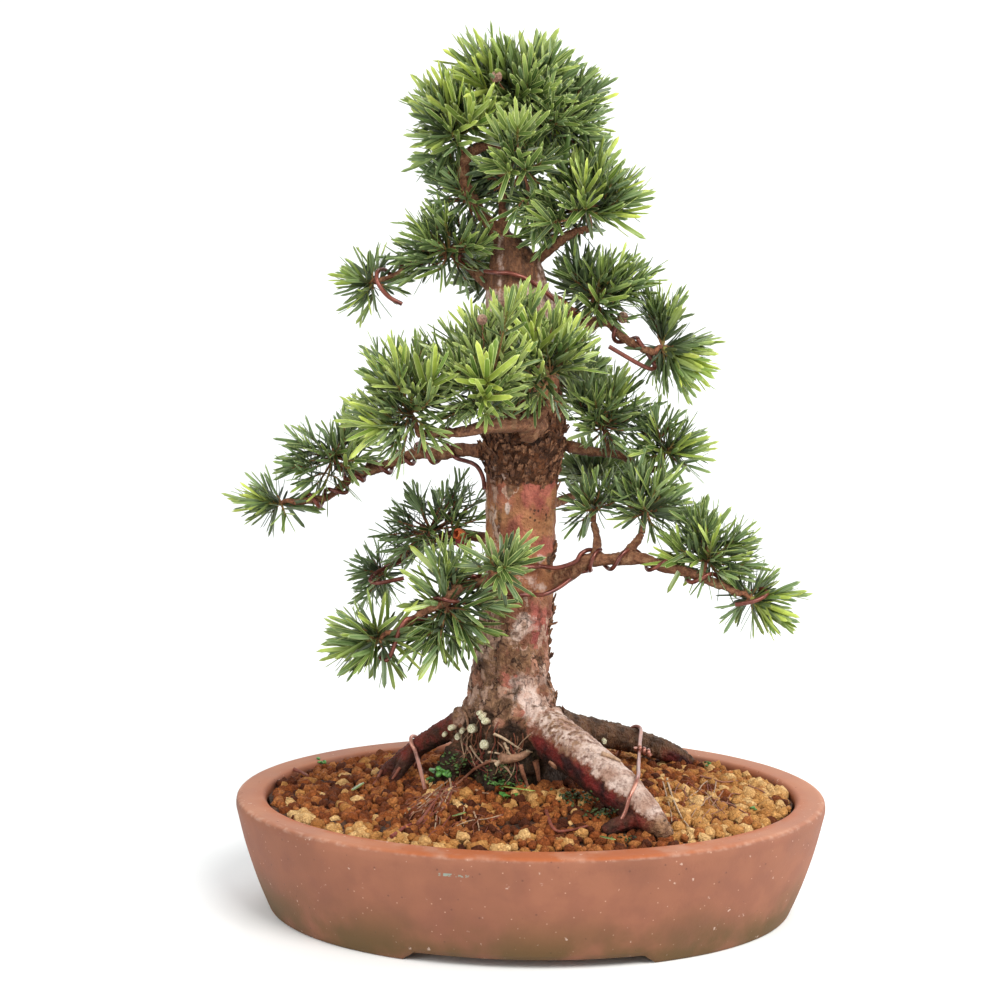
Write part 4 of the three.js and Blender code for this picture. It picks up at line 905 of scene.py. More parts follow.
def shapeWood(piece, settings):
    points = pointsOf(piece) / mm
    heights = points[:, 2]
    middle = trunkAt(heights)
    offset = points[:, :2] - middle[:, :2]
    ratio = np.sqrt((offset[:, 0] / middle[:, 2]) ** 2 + (offset[:, 1] / middle[:, 3]) ** 2)
    onTrunk = smooth(1.32, 1.1, ratio) * smooth(345, 338, heights)
    angles = np.arctan2(offset[:, 1], offset[:, 0])
    jagged = 5 * np.array([fractal(p, 9.0) for p in points])
    marks = trunkZones(points, onTrunk, jagged, settings)
    cork, knobby = marks["cork"], marks.pop("knobby")
    low = smooth(168, 148, heights)
    weathered = smooth(288, 294, heights + 1.6 * jagged) * onTrunk
    smoothBark = onTrunk * (1 - low) * (1 - cork) * (1 - weathered)
    recess = smooth(settings["recessTop"] + 3, settings["recessTop"] - 9, heights) * onTrunk
    recess *= smooth(5, -6, points[:, 1]) * smooth(9, 3, points[:, 0])
    shift = np.zeros(len(points))
    marks["rough"] = knobby.copy()
    marks |= dict(zip(("moss", "old", "flakes", "mottle"), np.zeros((4, len(points)))))

    def raiseTo(i, **values):
        for name, value in values.items():
            marks[name][i] = max(marks[name][i], value)

    def lay(i, part, **values):
        for name, value in values.items():
            marks[name][i] = mix(marks[name][i], value, part)

    def trunkBark(i, point, part, lumps):
        tall = (point[0], point[1], point[2] * 0.6)
        edge, own = plateAt(tall, settings["plateSize"])
        crack, isLoose = smooth(0.25, 0.0, edge), own > 0.4
        raised = smooth(0.42, 0.5, own) * (1 - crack)
        grain = fractal((angles[i] * 22, point[2] * 0.12, 3.0), 1.6)
        crumbs = noise.turbulence(Vector(point) / 4.0, 4, True) - 0.45
        pale, red, dark = (marks[name][i] for name in ("pale", "red", "dark"))
        bark = low[i] * (0.55 * raised + 0.5 * lumps - 0.45 * crack * isLoose)
        thin = smoothBark[i] * (0.35 * raised * smooth(0.3, 0.6, pale + 0.3 * (own > 0.62)) + 0.2 * lumps)
        shift[i] += part * (
            (bark + thin) * settings["plateDepth"]
            + grain * settings["grooveDepth"] * (weathered[i] + 0.2 * smoothBark[i])
            + (cork[i] + 0.55 * knobby[i]) * crumbs * settings["corkDepth"]
            + 0.25 * smoothBark[i] * fractal(tall, 14.0)
            - settings["recessDepth"] * recess[i] * (0.75 + 0.6 * fractal(tall, 12.0))
            + 1.6 * recess[i] * fractal((point[0], point[1], point[2] * 0.35), 5.0)
        )
        above = weathered[i] * smooth(317, 321, heights[i] - 0.22 * point[0])
        ridge = smooth(2.2, 0.8, abs(point[0] + 17.5 + 0.8 * lumps)) + smooth(-1, 2, point[0] - lumps)
        streaks = smooth(-0.1, 0.5, fractal((point[0], point[1], point[2] * 0.3), 7.0))
        damp = smooth(104, 92, heights[i]) * smooth(-16, -26, point[0]) * part
        # the dark in the recess at the front of the trunk's foot, and on the trunk below about 80 mm, is
        # painted shade
        raiseTo(
            i, pale=max(0.8 * weathered[i] * (1 - above), 0.55 * above * min(1, ridge)), old=above,
            dark=max(
                dark, 0.35 * part * low[i] * crack * isLoose, 0.97 * recess[i], 0.45 * above * streaks,
                0.95 * smooth(84, 77, heights[i]), 0.5 * part * cork[i] * smooth(0.15, -0.35, lumps),
            ),
            moss=max(0.5 * recess[i], 0.5 * damp),
        )
        share = 0.35 * smooth(-13, -18, point[0]) + 0.38 * low[i] + 0.3 * knobby[i]
        plain = (1 - weathered[i]) * (1 - cork[i]) * (1 - 0.9 * red)
        marks["flakes"][i] = part * min(0.85, share) * plain
        return share

    def rootBark(i, point, part, lumps, name, share, away):
        turned = math.atan2(away[2], math.hypot(away[0], away[1]))
        wrinkle = fractal((point[0] * 0.35, point[1] * 0.35, turned * 9), 1.7)
        barky = 1.6 if name == "rightBack" else 1.0
        shift[i] += part * settings["rootWrinkle"] * barky * (wrinkle + 0.8 * lumps)
        lay(i, part, rough=0.25)
        if name == "rightFront":
            upper = smooth(0.12, 0.55, away[2] + 0.16 * lumps + 0.12 * wrinkle)
            mottled = smooth(0.62, 0.2, share) * smooth(-0.25, 0.35, fractal(point, 2.0, 4))
            tipEnd = smooth(0.78, 0.93, share)
            spots = smooth(0.15, 0.5, fractal(point, 2.2)) * (0.25 + 0.5 * tipEnd)
            # the root's lower side is painted dark as shade; its red is the bark's own colour
            lay(
                i, part, pale=upper * (0.72 - 0.3 * mottled) * (1 - 0.6 * tipEnd),
                rough=max(0.55 * mottled + 0.15, 0.75 * tipEnd), red=(1 - upper) * (1 - tipEnd),
                dark=max(0.75 * smooth(0.0, -0.6, away[2]), spots), flakes=0.3 * mottled,
            )
            mottle = 0.2 + 0.5 * mottled + 0.35 * tipEnd
            marks["mottle"][i] = part * mottle * smooth(-0.2, 0.2, away[2])
        elif name == "rightBack":
            end = smooth(0.62, 0.76, share) * smooth(0.5, 0.1, away[2])
            lay(i, part, dark=(0.55 + 0.3 * lumps) * (1 - end), red=end, rough=0.8 * (1 - end))
        elif name in ("mossyLeft", "frontToe"):
            shift[i] += part * (2.2 * fractal(point, 4.0, 4) + 1.5 * fractal(point, 9.0))
            lay(i, part, dark=1 - 0.25 * smooth(0.15, 0.5, fractal(point, 3.0)), moss=0.15, rough=0.9)
        else:
            near = smooth(0.3, 0.1, share) * (name == "left")
            shadow = 0.5 - 0.4 * away[2] + 0.4 * lumps
            lay(i, part, red=0.8, dark=max(0.75 * near, shadow), rough=0.7 * near)

    def branchBark(i, part, lumps, number, share, radius, away):
        node = fractal((share * 60, number * 7.0, 0.5), 2.2)
        size = settings["branchLumps"] * min(1.0, radius / 2.5)
        shift[i] += part * size * (0.8 * lumps + 0.9 * node)
        shadow = 0.45 * smooth(0.1, 0.9, -away[2])
        lay(i, part, rough=0.35 + 0.5 * node, pale=0.12, red=0.25, dark=shadow)

    for i, (point, (name, number, share, radius, core)) in enumerate(zip(points, nearestLimbs(points))):
        part, lumps = onTrunk[i], fractal(point, 5.0)
        if part > 0.02:
            # where a limb leaves the trunk, its pattern follows the trunk's bark
            share = trunkBark(i, point, part, lumps)
        part = 1 - part
        if part > 0.02:
            away = unit(point - core)
            if name in rootLimbs:
                rootBark(i, point, part, lumps, name, share, away)
            else:
                branchBark(i, part, lumps, number, share, radius, away)
    for x, y, z, across, tall, height in settings["knobs"]:
        level = ((points[:, 0] - x) ** 2 + (points[:, 1] - y) ** 2) / across ** 2
        knob = smooth(1.3, 0.5, np.sqrt(level + ((heights - z) / tall) ** 2)) * onTrunk
        shift += height * knob
        marks["rough"] = np.maximum(marks["rough"], knob)
    inHollow = 1 - np.linalg.norm((points - settings["hollow"]) / settings["hollowReach"], axis=1)
    shift -= settings["hollowDepth"] * smooth(0, 0.7, inHollow) * onTrunk
    shadow = smooth(0.1, 0.6, smooth(0, 0.7, inHollow))
    marks["dark"] = np.maximum(marks["dark"], shadow * onTrunk)
    marks["pale"] *= 1 - 0.9 * shadow
    marks["flaky"] = np.maximum(0.7 * cork, 0.8 * knobby * (points[:, 0] > 5)) * (1 - recess)
    marks |= {"weathered": weathered, "branch": 1 - onTrunk, "low": low * onTrunk}
    moved = (points + pointsOf(piece, "normal") * shift[:, None]) * mm
    piece.data.vertices.foreach_set("co", moved.astype(np.float32).ravel())
    piece.data.update()
    paint(
        piece, rootPart=smooth(112, 100, pointsOf(piece)[:, 2] / mm),
        **{name: np.clip(values, 0, 1) for name, values in marks.items()},
    )


barkSettings = {
    "smooth": ("8b5738", "ad7a51"), "flush": ("733f2e", "9c6045"), "red": ("87423a", "b36656"),
    "low": ("774b37", "b08069"), "branch": ("553120", "9a6a4c"), "rough": ("4b2d1d", "967050"),
    "cork": ("2c170a", "7a4a2c"), "pale": ("b08f7e", "dcc6ba"), "flake": ("8d6650", "cdb09c"),
    "rootRed": ("280908", "6e1f1a"), "dark": ("0d0704", "2d1a0b"), "moss": ("15140a", "4c4a26"),
    "old": ("351b10", "80563a"), "pit": "2c150d", "crack": "381d11", "streak": "6b4a36",
}


def barkMaterial(settings):
    bark = Finish("bark", Specular_IOR_Level=0.28)
    strands = bark.effect("fibre", scale=620.0, stretch=0.12)
    cloud, grain = bark.cloud(95.0, 0.36, 0.64), bark.cloud(330.0, 0.36, 0.64)
    fine = bark.cloud(900.0, 0.3, 0.7)
    soft = bark.blend(0.35, grain, fine)
    crack, ownTone, ownOther = bark.effect("plates", scale=150.0, stretch=0.7, width=0.09)
    low, red, branch, weathered, flakes = (
        bark.painted(name) for name in ("low", "red", "branch", "weathered", "flakes")
    )

    def tone(name, factor=soft):
        return bark.blend(factor, *settings[name])

    def ragged(name, least=0.32, most=0.68):
        # a painted zone whose border breaks up along the grain
        return (bark.painted(name) + (soft * 0.5 - 0.25)).spread(least, most)

    lines = crack * flakes.spread(0.12, 0.5) * bark.cloud(120.0, 0.47, 0.57)
    pits = bark.effect("speckle", scale=500.0, size=0.46, share=0.6)
    flecks = bark.effect("speckle", scale=420.0, size=0.22, share=0.2)
    body = bark.coat(
        tone("smooth", cloud),
        (bark.cloud(34.0, 0.38, 0.62) * 0.65, tone("flush", cloud)),
        (low * 0.85, tone("low", cloud)), (red, tone("red", cloud)), (branch, tone("branch")),
        (bark.painted("old"), tone("old", strands)),
        ((ownTone < flakes) * 0.8, tone("flake", bark.blend(0.45, ownOther, soft))),
        (ragged("rough") * 0.85, tone("rough")), (ragged("cork"), tone("cork")),
        (ragged("pale", 0.25, 0.85) * 0.88, tone("pale", bark.blend(weathered, cloud, strands))),
        (ragged("mottle", 0.3, 0.75) * 0.8, tone("rough")),
        (red * branch * bark.painted("rootPart"), tone("rootRed", cloud)),
        (lines * 0.9, settings["crack"]),
        (bark.cloud(210.0, 0.54, 0.62) * low * 0.6, tone("rough")),
        # dark: the bark's own dark patches, and painted shade in the recess, at the trunk's foot, in the
        # hollow and under roots and branches
        (ragged("dark", 0.1, 0.95) * 0.94, tone("dark")),
        (bark.painted("moss") * cloud * 0.7, tone("moss")),
        (pits * bark.painted("dots") * 0.85, settings["pit"]), (flecks * 0.35, settings["crack"]),
        ((1.0 - strands) * weathered * 0.55, settings["streak"]),
    )
    height = strands * 0.35 + fine * 0.5 + grain * 0.7 - lines * 2.0
    return bark.close(body, fine.spread(0.0, 1.0, 0.55, 0.85), height, 0.8, 0.0011)


def makeWood():
    shapes = [trunkSkin(trunkSettings)]
    for limbs, sides, steps in ((branchLimbs, 12, 6), (rootLimbs, 24, 10)):
        shapes += [limb.skin(sides, steps * (len(limb.points) - 1)) for limb in limbs.values()]
    points, faces = joinShapes(shapes)
    piece = meshObject("treeWood", np.array(points) * mm, faces)
    remesh = piece.modifiers.new("grownTogether", "REMESH")
    remesh.mode, remesh.voxel_size = "VOXEL", trunkSettings["voxel"] * mm
    bake(piece)
    soften = piece.modifiers.new("soften", "SMOOTH")
    soften.factor, soften.iterations = 0.5, 2
    bake(piece)
    shapeWood(piece, woodSettings)
    piece.data.materials.append(barkMaterial(barkSettings))
    softFaces(piece.data)
    return settle(piece, "bark", "tree_wood")


treeWood = makeWood()
print("wood made:", len(treeWood.data.polygons), "faces")


# scales of loose bark: how many columns each has, and its own sizes
flakeSettings = {
    "length": 4.0, "width": 2.6, "thickness": 0.6, "distance": 1.5, "seed": 21, "shapes": 4, "columns": 5,
    "deep": ("2a150a", "5c3620"), "light": ("5c3a26", "a07150"),
}


def flakeShapes(settings):
    # small curled scales of bark, flat side down, along +Y
    rng = np.random.default_rng(settings["seed"])
    columns, flakes = settings["columns"], []
    for number in range(settings["shapes"]):
        curl = rng.uniform(0.6, 1.4)
        ragged = rng.uniform(-0.8, 0.8, (columns, 2))
        points = []
        for side in (0, 1):
            for i in range(columns):
                across = (i / (columns - 1) - 0.5) * settings["width"]
                rise = curl * (across / settings["width"]) ** 2 * 2 + side * settings["thickness"]
                for end in (0, 1):
                    along = (end - 0.3) * settings["length"] * (1 + ragged[i, end] * 0.6)
                    points.append((across * mm, along * mm, (rise + end * curl * 0.8) * mm))
        faces, up = [], 2 * columns
        for i in range(columns - 1):
            a, b, c, d = 2 * i, 2 * i + 2, 2 * i + 3, 2 * i + 1
            faces += [(a, d, c, b), (up + a, up + b, up + c, up + d), (a, b, up + b, up + a)]
            faces.append((d, up + d, up + c, c))
        faces += [(0, up, up + 1, 1), (up - 2, up - 1, 2 * up - 1, 2 * up - 2)]
        flakes.append(meshObject(f"flake{number}", points, faces, smoothFaces=False))
    return shapeBox("flakeShapes", flakes)


def flakeTree():
    # scales that lie on a painted zone, mostly upright and a little lifted
    tree = GeometryTree("barkScales", Shapes="Collection", Distance=0.003, Seed=1, Finish="Material")
    points, normal = tree.sprinkled(200000.0, "flaky", tree.entry["Seed"])
    along = tree.turned((0, 0, 1), "Y", tree.turned(normal, "Z"), "Z")
    inputs = {"Rotation": along, "Rotate By": tree.chance((0.0, -0.25, -0.4), (0.3, 0.25, 0.4), 3)}
    loose = tree.out("FunctionNodeRotateRotation", inputs, rotation_space="LOCAL")
    seated = tree.shifted(points, tree.vector("SCALE", normal, scale=-0.0005))
    pick = {"Pick_Instance": True, "Instance_Index": tree.chance(0, flakeSettings["shapes"] - 1, 2)}
    return tree.close(tree.coated(tree.planted(seated, loose, tree.chance(0.5, 1.05, 9), **pick)))


def makeFlakes(settings):
    finish = Finish("barkScale", Roughness=0.85)
    fine = finish.cloud(700.0)
    deep, light = (finish.blend(fine, *settings[name]) for name in ("deep", "light"))
    material = finish.close(finish.blend(finish.painted("tone"), deep, light), height=fine)
    piece = bpy.data.objects.new("barkFlakes", treeWood.data.copy())
    scene.collection.objects.link(piece)
    shapes = flakeShapes(settings)
    distance = settings["distance"] * mm
    flakeTree().run(piece, Shapes=shapes, Distance=distance, Seed=settings["seed"], Finish=material)
    dropShapes(shapes)
    settle(piece, "bark")
    print("bark flakes:", len(piece.data.polygons), "faces")


makeFlakes(flakeSettings)


# the packed soil solid stays and carries loose granules, which are of two kinds
soilSettings = {
    "halfLong": 133.8, "halfDeep": 98.8, "edgeHeight": 54, "mound": 10, "base": ("25160c", "5c3820"),
    "gridStep": 3.0, "shapes": 6, "shapeSeed": 12, "size": 6.6, "distance": 3.75, "seed": 3,
    "tones": {
        "granulesBrown": ("4a200b", "944d20", "c07a40"), "granulesTan": ("a86c34", "cf9856", "eec688"),
    },
}


def soilMaterial():
    base = Finish("soilBase", Roughness=0.95)
    cloud = base.cloud(260.0)
    return base.close(base.blend(cloud, *soilSettings["base"]), None, cloud, 0.8, 0.002)


def granuleMaterial(name, tones):
    # baked clay grains; each has its own tone
    grain = Finish(name, Specular_IOR_Level=0.25)
    crumb = grain.cloud(900.0, 0.35, 0.68)
    body = grain.blend(crumb * 0.4, grain.ramp(grain.painted("tone"), *tones), tones[0])
    return grain.close(body, crumb.spread(0.0, 1.0, 0.8, 0.95), crumb, 0.9, 0.0011)


def granuleShapes(count, seed):
    # lumpy grains of 64 triangles about one unit across
    grains = []
    for number in range(count):
        lump = bmesh.new()
        bmesh.ops.create_uvsphere(lump, u_segments=8, v_segments=5, radius=0.5)
        for vertex in lump.verts:
            place = vertex.co * 3.1 + Vector((number * 9.7, seed, 0))
            vertex.co *= 1 + 0.55 * noise.noise(place * 0.8) + 0.4 * noise.noise(place * 2.1)
            vertex.co.z *= 0.85
        grains.append(lumpObject(f"granule{number}", lump))
        softFaces(grains[-1].data)
    return shapeBox("granuleShapes", grains)


def granuleTree():
    # grains of one kind; the same seed gives both kinds the same places
    tree = GeometryTree(
        "scatterGranules", Shapes="Collection", Size=0.005, Distance=0.004, Kind=0.0, Seed=1,
        Finish="Material",
    )
    kind, chance = tree.entry["Kind"], tree.chance
    points, _ = tree.sprinkled(400000.0, "open", 31)
    isOther = abs((chance(0.0, 1.0, 17) < tree.named("tan")) - kind) > 0.5
    node = tree.put("GeometryNodeDeleteGeometry", {"Geometry": points, "Selection": isOther}, domain="POINT")
    lift = tree.out("ShaderNodeCombineXYZ", {"Z": chance(-0.0008, 0.002, 5)})
    raised = tree.shifted(Value(tree, node.outputs[0]), lift)
    size = chance(0.6, 1.28, 9) * tree.entry["Size"] * (kind * 0.12 + 0.95)
    pick = {"Pick_Instance": True, "Instance_Index": chance(0, soilSettings["shapes"] - 1, 2)}
    turn = chance((0, 0, 0), (6.28, 6.28, 6.28), 7)
    return tree.close(tree.coated(tree.planted(raised, turn, size, **pick)))


def soilSheet(name):
    # the soil's surface as a grid, with its brown and tan zones painted on
    edgeLong, edgeDeep, step = (soilSettings[label] for label in ("halfLong", "halfDeep", "gridStep"))
    halfLong, halfDeep = edgeLong - 1.5, edgeDeep - 1.5
    columns = np.linspace(-halfLong, halfLong, int(2 * halfLong / step))
    rows = np.linspace(-halfDeep, halfDeep, int(2 * halfDeep / step))
    x, y = np.meshgrid(columns, rows)
    inside = (x / halfLong) ** 2 + (y / halfDeep) ** 2 < 1.0
    wide = len(columns)
    faces = [
        (i * wide + j, i * wide + j + 1, (i + 1) * wide + j + 1, (i + 1) * wide + j)
        for i in range(len(rows) - 1) for j in range(wide - 1) if inside[i:i + 2, j:j + 2].all()
    ]
    reach = np.minimum(1, np.sqrt((x / edgeLong) ** 2 + (y / edgeDeep) ** 2))
    heights = soilSettings["edgeHeight"] + soilSettings["mound"] * np.cos(math.pi / 2 * reach) ** 1.3
    points = np.stack([x, y, heights - 0.2], 2).reshape(-1, 3)
    sheet = meshObject(name, points * mm, faces)
    tan = []
    for px, py, _ in points:
        rightSide = smooth(42, 66, px + 0.3 * py) * smooth(-0.9, -0.2, fractal((px, py, 9.0), 20.0))
        rightSide *= 1 - 0.65 * smooth(-28, 0, py) * smooth(112, 86, px)
        share = math.hypot(px / halfLong, py / halfDeep)
        frontRim = smooth(0.84, 0.93, share) * smooth(-10, -50, py) * smooth(30, -20, px)
        nearTrunk = smooth(20, 8, math.hypot((px + 12) * 0.42, (py + 34) * 1.3))
        patch = smooth(0.3, 0.7, fractal((px, py, 4.0), 16.0))
        tan.append(min(1, max(rightSide, 0.9 * frontRim, 0.5 * nearTrunk, 0.16 * patch) * 0.95 + 0.03))
    trunkX, trunkY, wide, deep = trunkAt(60.0)
    clear = ((points[:, 0] - trunkX) / (wide - 5)) ** 2 + ((points[:, 1] - trunkY) / (deep - 5)) ** 2 > 1
    paint(sheet, tan=tan, open=clear)
    return sheet


def recoat(node, material):
    node.data.materials.clear()
    node.data.materials.append(material)


def makeSoil():
    recoat(frame["nodes"]["soil"], soilMaterial())
    shapes = granuleShapes(soilSettings["shapes"], soilSettings["shapeSeed"])
    tree = granuleTree()
    for number, (name, tones) in enumerate(soilSettings["tones"].items()):
        sheet = soilSheet(name)
        tree.run(
            sheet, Shapes=shapes, Size=soilSettings["size"] * mm, Distance=soilSettings["distance"] * mm,
            Kind=float(number), Seed=soilSettings["seed"], Finish=granuleMaterial(name, tones),
        )
        settle(sheet, "granules")
        print(name, len(sheet.data.polygons), "faces")
    dropShapes(shapes)


makeSoil()
print("soil made")


wireSettings = {
    "radius": 1.1, "tieRadius": 1.0, "offBark": 0.35, "offTrunk": 1.05, "stepsPerTurn": 22,
    "frames": 60, "step": 0.9, "sides": 14, "knotTurns": 3.5, "knotReach": 1.2, "knotRadius": 0.95,
    # the ties by spots of the view: on the front root, in the soil, and the twisted end
    "tieSpots": {
        "onRoot": [(637, 780), (634, 789), (630, 799), (626, 810)], "end": (619, 832),
        "leftEnd": (424, 791), "knot": [(636, 747, 4), (651, 754, 2)],
    },
    # how the wires leave their branches, by spots of the view with a depth
    "looseEnds": {
        "wire_upper_left": [
            (397, 277, 10), (391, 275, 9), (386, 270.5, 7), (381, 269.3, 1), (377, 273, -5),
            (377, 280, -8), (381, 288, -9), (389, 297, -8), (402, 304, -7),
        ],
        "wire_upper_trunk": [
            (655, 366, 3), (651, 369, -2), (640, 364.5, -5), (625, 356, -7), (609, 346.5, -8),
        ],
        "wire_right_low_upper": [
            (748, 592, -20), (758, 589, -22), (765, 589.5, -26), (767, 593.5, -31),
            (760, 599, -33), (746, 603, -34), (735, 604.5, -34),
        ],
        "wire_left_low_front": [
            (407, 619, -48), (401, 627, -50), (396, 640, -50), (391.5, 653, -49),
            (386, 660.5, -48), (380, 657.5, -46),
        ],
        "wire_left_low_back": [
            (388, 567, 40), (376, 573, 36), (370, 580, 33), (376, 583, 31),
            (390, 581, 30), (404, 578, 30),
        ],
    },
}


def surfaceUnder():
    # the pieces that others lie on, as trees to cast at
    graph = bpy.context.evaluated_depsgraph_get()
    names = ("treeWood", "granulesBrown", "granulesTan", "potClay")
    pieces = [bpy.data.objects[name] for name in names] + [frame["nodes"]["soil"]]
    return [BVHTree.FromObject(piece, graph) for piece in pieces]


carriers = surfaceUnder()


def castAt(across, down):
    # where the view's spot meets the wood or the soil, and the way that the surface faces
    eye = cameraPlace.translation
    ray = Vector(seenAt(across, down, 0) * mm) - eye
    hits = [tree.ray_cast(eye, ray) for tree in carriers]
    place, normal, *_ = min((hit for hit in hits if hit[0]), key=lambda hit: hit[3])
    return np.array(place) / mm, np.array(normal)


def landAt(across, down, lift=0.0):
    place, normal = castAt(across, down)
    return place + normal * lift


def roundTrunk(height, *turns):
    # points of a wire that lies on the trunk, at one height and at several turns in degrees
    clear = wireSettings["radius"] + wireSettings["offTrunk"]
    return [trunkPoint(height, math.radians(turn), clear) for turn in turns]


def overLimb(limb, share, degrees, radius):
    middle, along = limb.at(share), limb.heading(share)
    right = unit(np.array((along[1], -along[0], 0)))
    lift = np.cross(right, along)
    reach = limb.radius(share) + wireSettings["offBark"] + radius
    turns = [math.radians(mix(degrees[0], degrees[-1], i / 12)) for i in range(13)]
    return [middle + reach * (right * math.cos(turn) + lift * math.sin(turn)) for turn in turns]


def coiledWire(lead, limb, start, end, turns, freeEnd=0):
    # lead points, then a coil round the limb, then a free end that stands off
    limb, count = branchLimbs[limb], wireSettings["frames"]
    steps, frames = round(abs(turns) * wireSettings["stepsPerTurn"]), limb.frames(count)
    points = [np.array(p, float) for p in lead]
    for i in range(steps + 1):
        share = mix(start, end, i / steps)
        _, across, up = frames[round(share * count)]
        middle = limb.at(share)
        if i == 0:
            toward = points[-1] - middle
            phase = math.atan2(np.dot(toward, up), np.dot(toward, across))
        angle = phase + fullTurn * turns * i / steps
        reach = limb.radius(share) + wireSettings["offBark"] + wireSettings["radius"]
        outward = across * math.cos(angle) + up * math.sin(angle)
        points.append(middle + outward * reach)
    if freeEnd:
        last, heading = points[-1], unit(points[-1] - points[-2])
        for share in (0.33, 0.66, 1):
            points.append(last + freeEnd * (heading * share + outward * 0.45 * share ** 2))
    return points


def wireMaterial(name, deep, light, worn):
    wire = Finish(name, Metallic=0.55, Coat_Weight=0.25)
    cloud, scratch = wire.cloud(120.0), wire.cloud(1400.0, 0.62, 0.72)
    body = wire.coat(wire.blend(cloud, deep, light), (scratch * 0.5, worn))
    return wire.close(body, cloud.spread(0.0, 1.0, 0.3, 0.45), scratch, 0.2, 0.0002)


def roundBarTree():
    # round bars along lines; each point has its share of the full radius
    tree = GeometryTree("roundBar", Radius=0.001, Step=0.001, Sides=12, Finish="Material")
    entry, line = tree.entry, tree.out("GeometryNodeMeshToCurve", {"Mesh": tree.start})
    even = tree.resampled(line, entry["Step"])
    return tree.close(tree.coated(tree.softened(
        tree.bar(even, entry["Sides"], entry["Radius"], tree.named("share"))
    )))


barTree = roundBarTree()
wireFinish = wireMaterial("copperBrownWire", "56271f", "7d4234", "b98872")
tieFinish = wireMaterial("copperTie", "8a5344", "ba8370", "d9b4a2")


def makeBar(name, points, radius, finish, smoothing, *nodes):
    # a bar through the points, which are joined by a smooth line
    limb = Limb([(*p, radius) for p in points])
    dense = [limb.at(share) * mm for share in np.linspace(0, 1, (len(points) - 1) * smoothing + 1)]
    piece = meshObject(name, dense, edges=[(i, i + 1) for i in range(len(dense) - 1)])
    paint(piece, share=np.ones(len(dense)))
    step, sides = wireSettings["step"] * mm, wireSettings["sides"]
    barTree.run(piece, Radius=radius * mm, Step=step, Sides=sides, Finish=finish)
    settle(piece, "wire", *nodes)


def makeWires():
    lines = {
        "wire_upper_trunk": coiledWire([
            *roundTrunk(323, 196, 208, 220, 232, 245, 257), *roundTrunk(322, 270),
            *roundTrunk(320.8, 283), *roundTrunk(319, 295), *roundTrunk(314, 318), (15, -9, 305),
        ], "upperRight", 0.4, 0.84, 1.9),
        "wire_upper_left": coiledWire([(-36, -2, 326)], "upperLeft", 0.36, 0.8, 2.35),
        "wire_left_middle": coiledWire(
            [*roundTrunk(214, 200), *roundTrunk(220, 192), (-29, 0, 226)],
            "leftMiddle", 0.2, 0.93, 6.5, 9,
        ),
        "wire_right_low_upper": coiledWire(
            [*roundTrunk(177, 262, 273, 284, 294, 304), (12, -14, 177)], "rightLow", 0.25, 0.9, -3.4,
        ),
        "wire_right_low_lower": coiledWire([
            *roundTrunk(163, 252, 262, 272, 282, 292), (5, -15, 163.5), (11, -12.5, 165.5),
            (17, -9.5, 169), (22, -7.5, 173),
        ], "rightLow", 0.27, 0.34, -0.55),
        "wire_left_low_front": coiledWire([(-26, -25, 176)], "leftLowFront", 0.28, 0.74, 1.6),
        "wire_left_low_back": coiledWire([(-40, 24, 182)], "leftLowBack", 0.42, 0.86, 2.7),
    }
    for name, points in lines.items():
        points = points + [seenAt(*spot) for spot in wireSettings["looseEnds"].get(name, [])]
        makeBar(name + "_round", points, wireSettings["radius"], wireFinish, 4, name)


def makeTies():
    tie, spots = wireSettings["tieRadius"], wireSettings["tieSpots"]
    overLeft = overLimb(rootLimbs["left"], 0.62, (0, 180), tie)
    leftEnd = landAt(*spots["leftEnd"], -2)
    left = [(-63, 28, 55), *overLeft, mix(overLeft[-1], leftEnd, 0.5) + (0, 0, 1), leftEnd]
    right = [(44, 62, 55), *overLimb(rootLimbs["rightBack"], 0.52, (180, 70), tie)]
    onRoot = [landAt(*spot, 1.5 * tie) for spot in spots["onRoot"]]
    right += [mix(right[-1], onRoot[0], s) - (0, 0, 6 * s * (1 - s)) for s in (0.25, 0.5, 0.75)]
    right += onRoot + [landAt(*spots["end"], -2)]
    makeBar("tie_wire_left_round", left, tie, tieFinish, 8, "tie_wire_left")
    makeBar("tie_wire_right_round", right, tie, tieFinish, 8, "tie_wire_right")
    first, last = (seenAt(*spot) for spot in spots["knot"])
    along = unit(last - first)
    across = unit(np.cross(along, (0, 0, 1)))
    up, knot = np.cross(along, across), []
    for share in np.linspace(0, 1, 45):
        angle = fullTurn * wireSettings["knotTurns"] * share
        aside = across * math.cos(angle) + up * math.sin(angle)
        knot.append(mix(first, last, share) + wireSettings["knotReach"] * aside)
    makeBar("tieKnot", knot, wireSettings["knotRadius"], tieFinish, 2)


makeWires()
makeTies()
print("wires made")


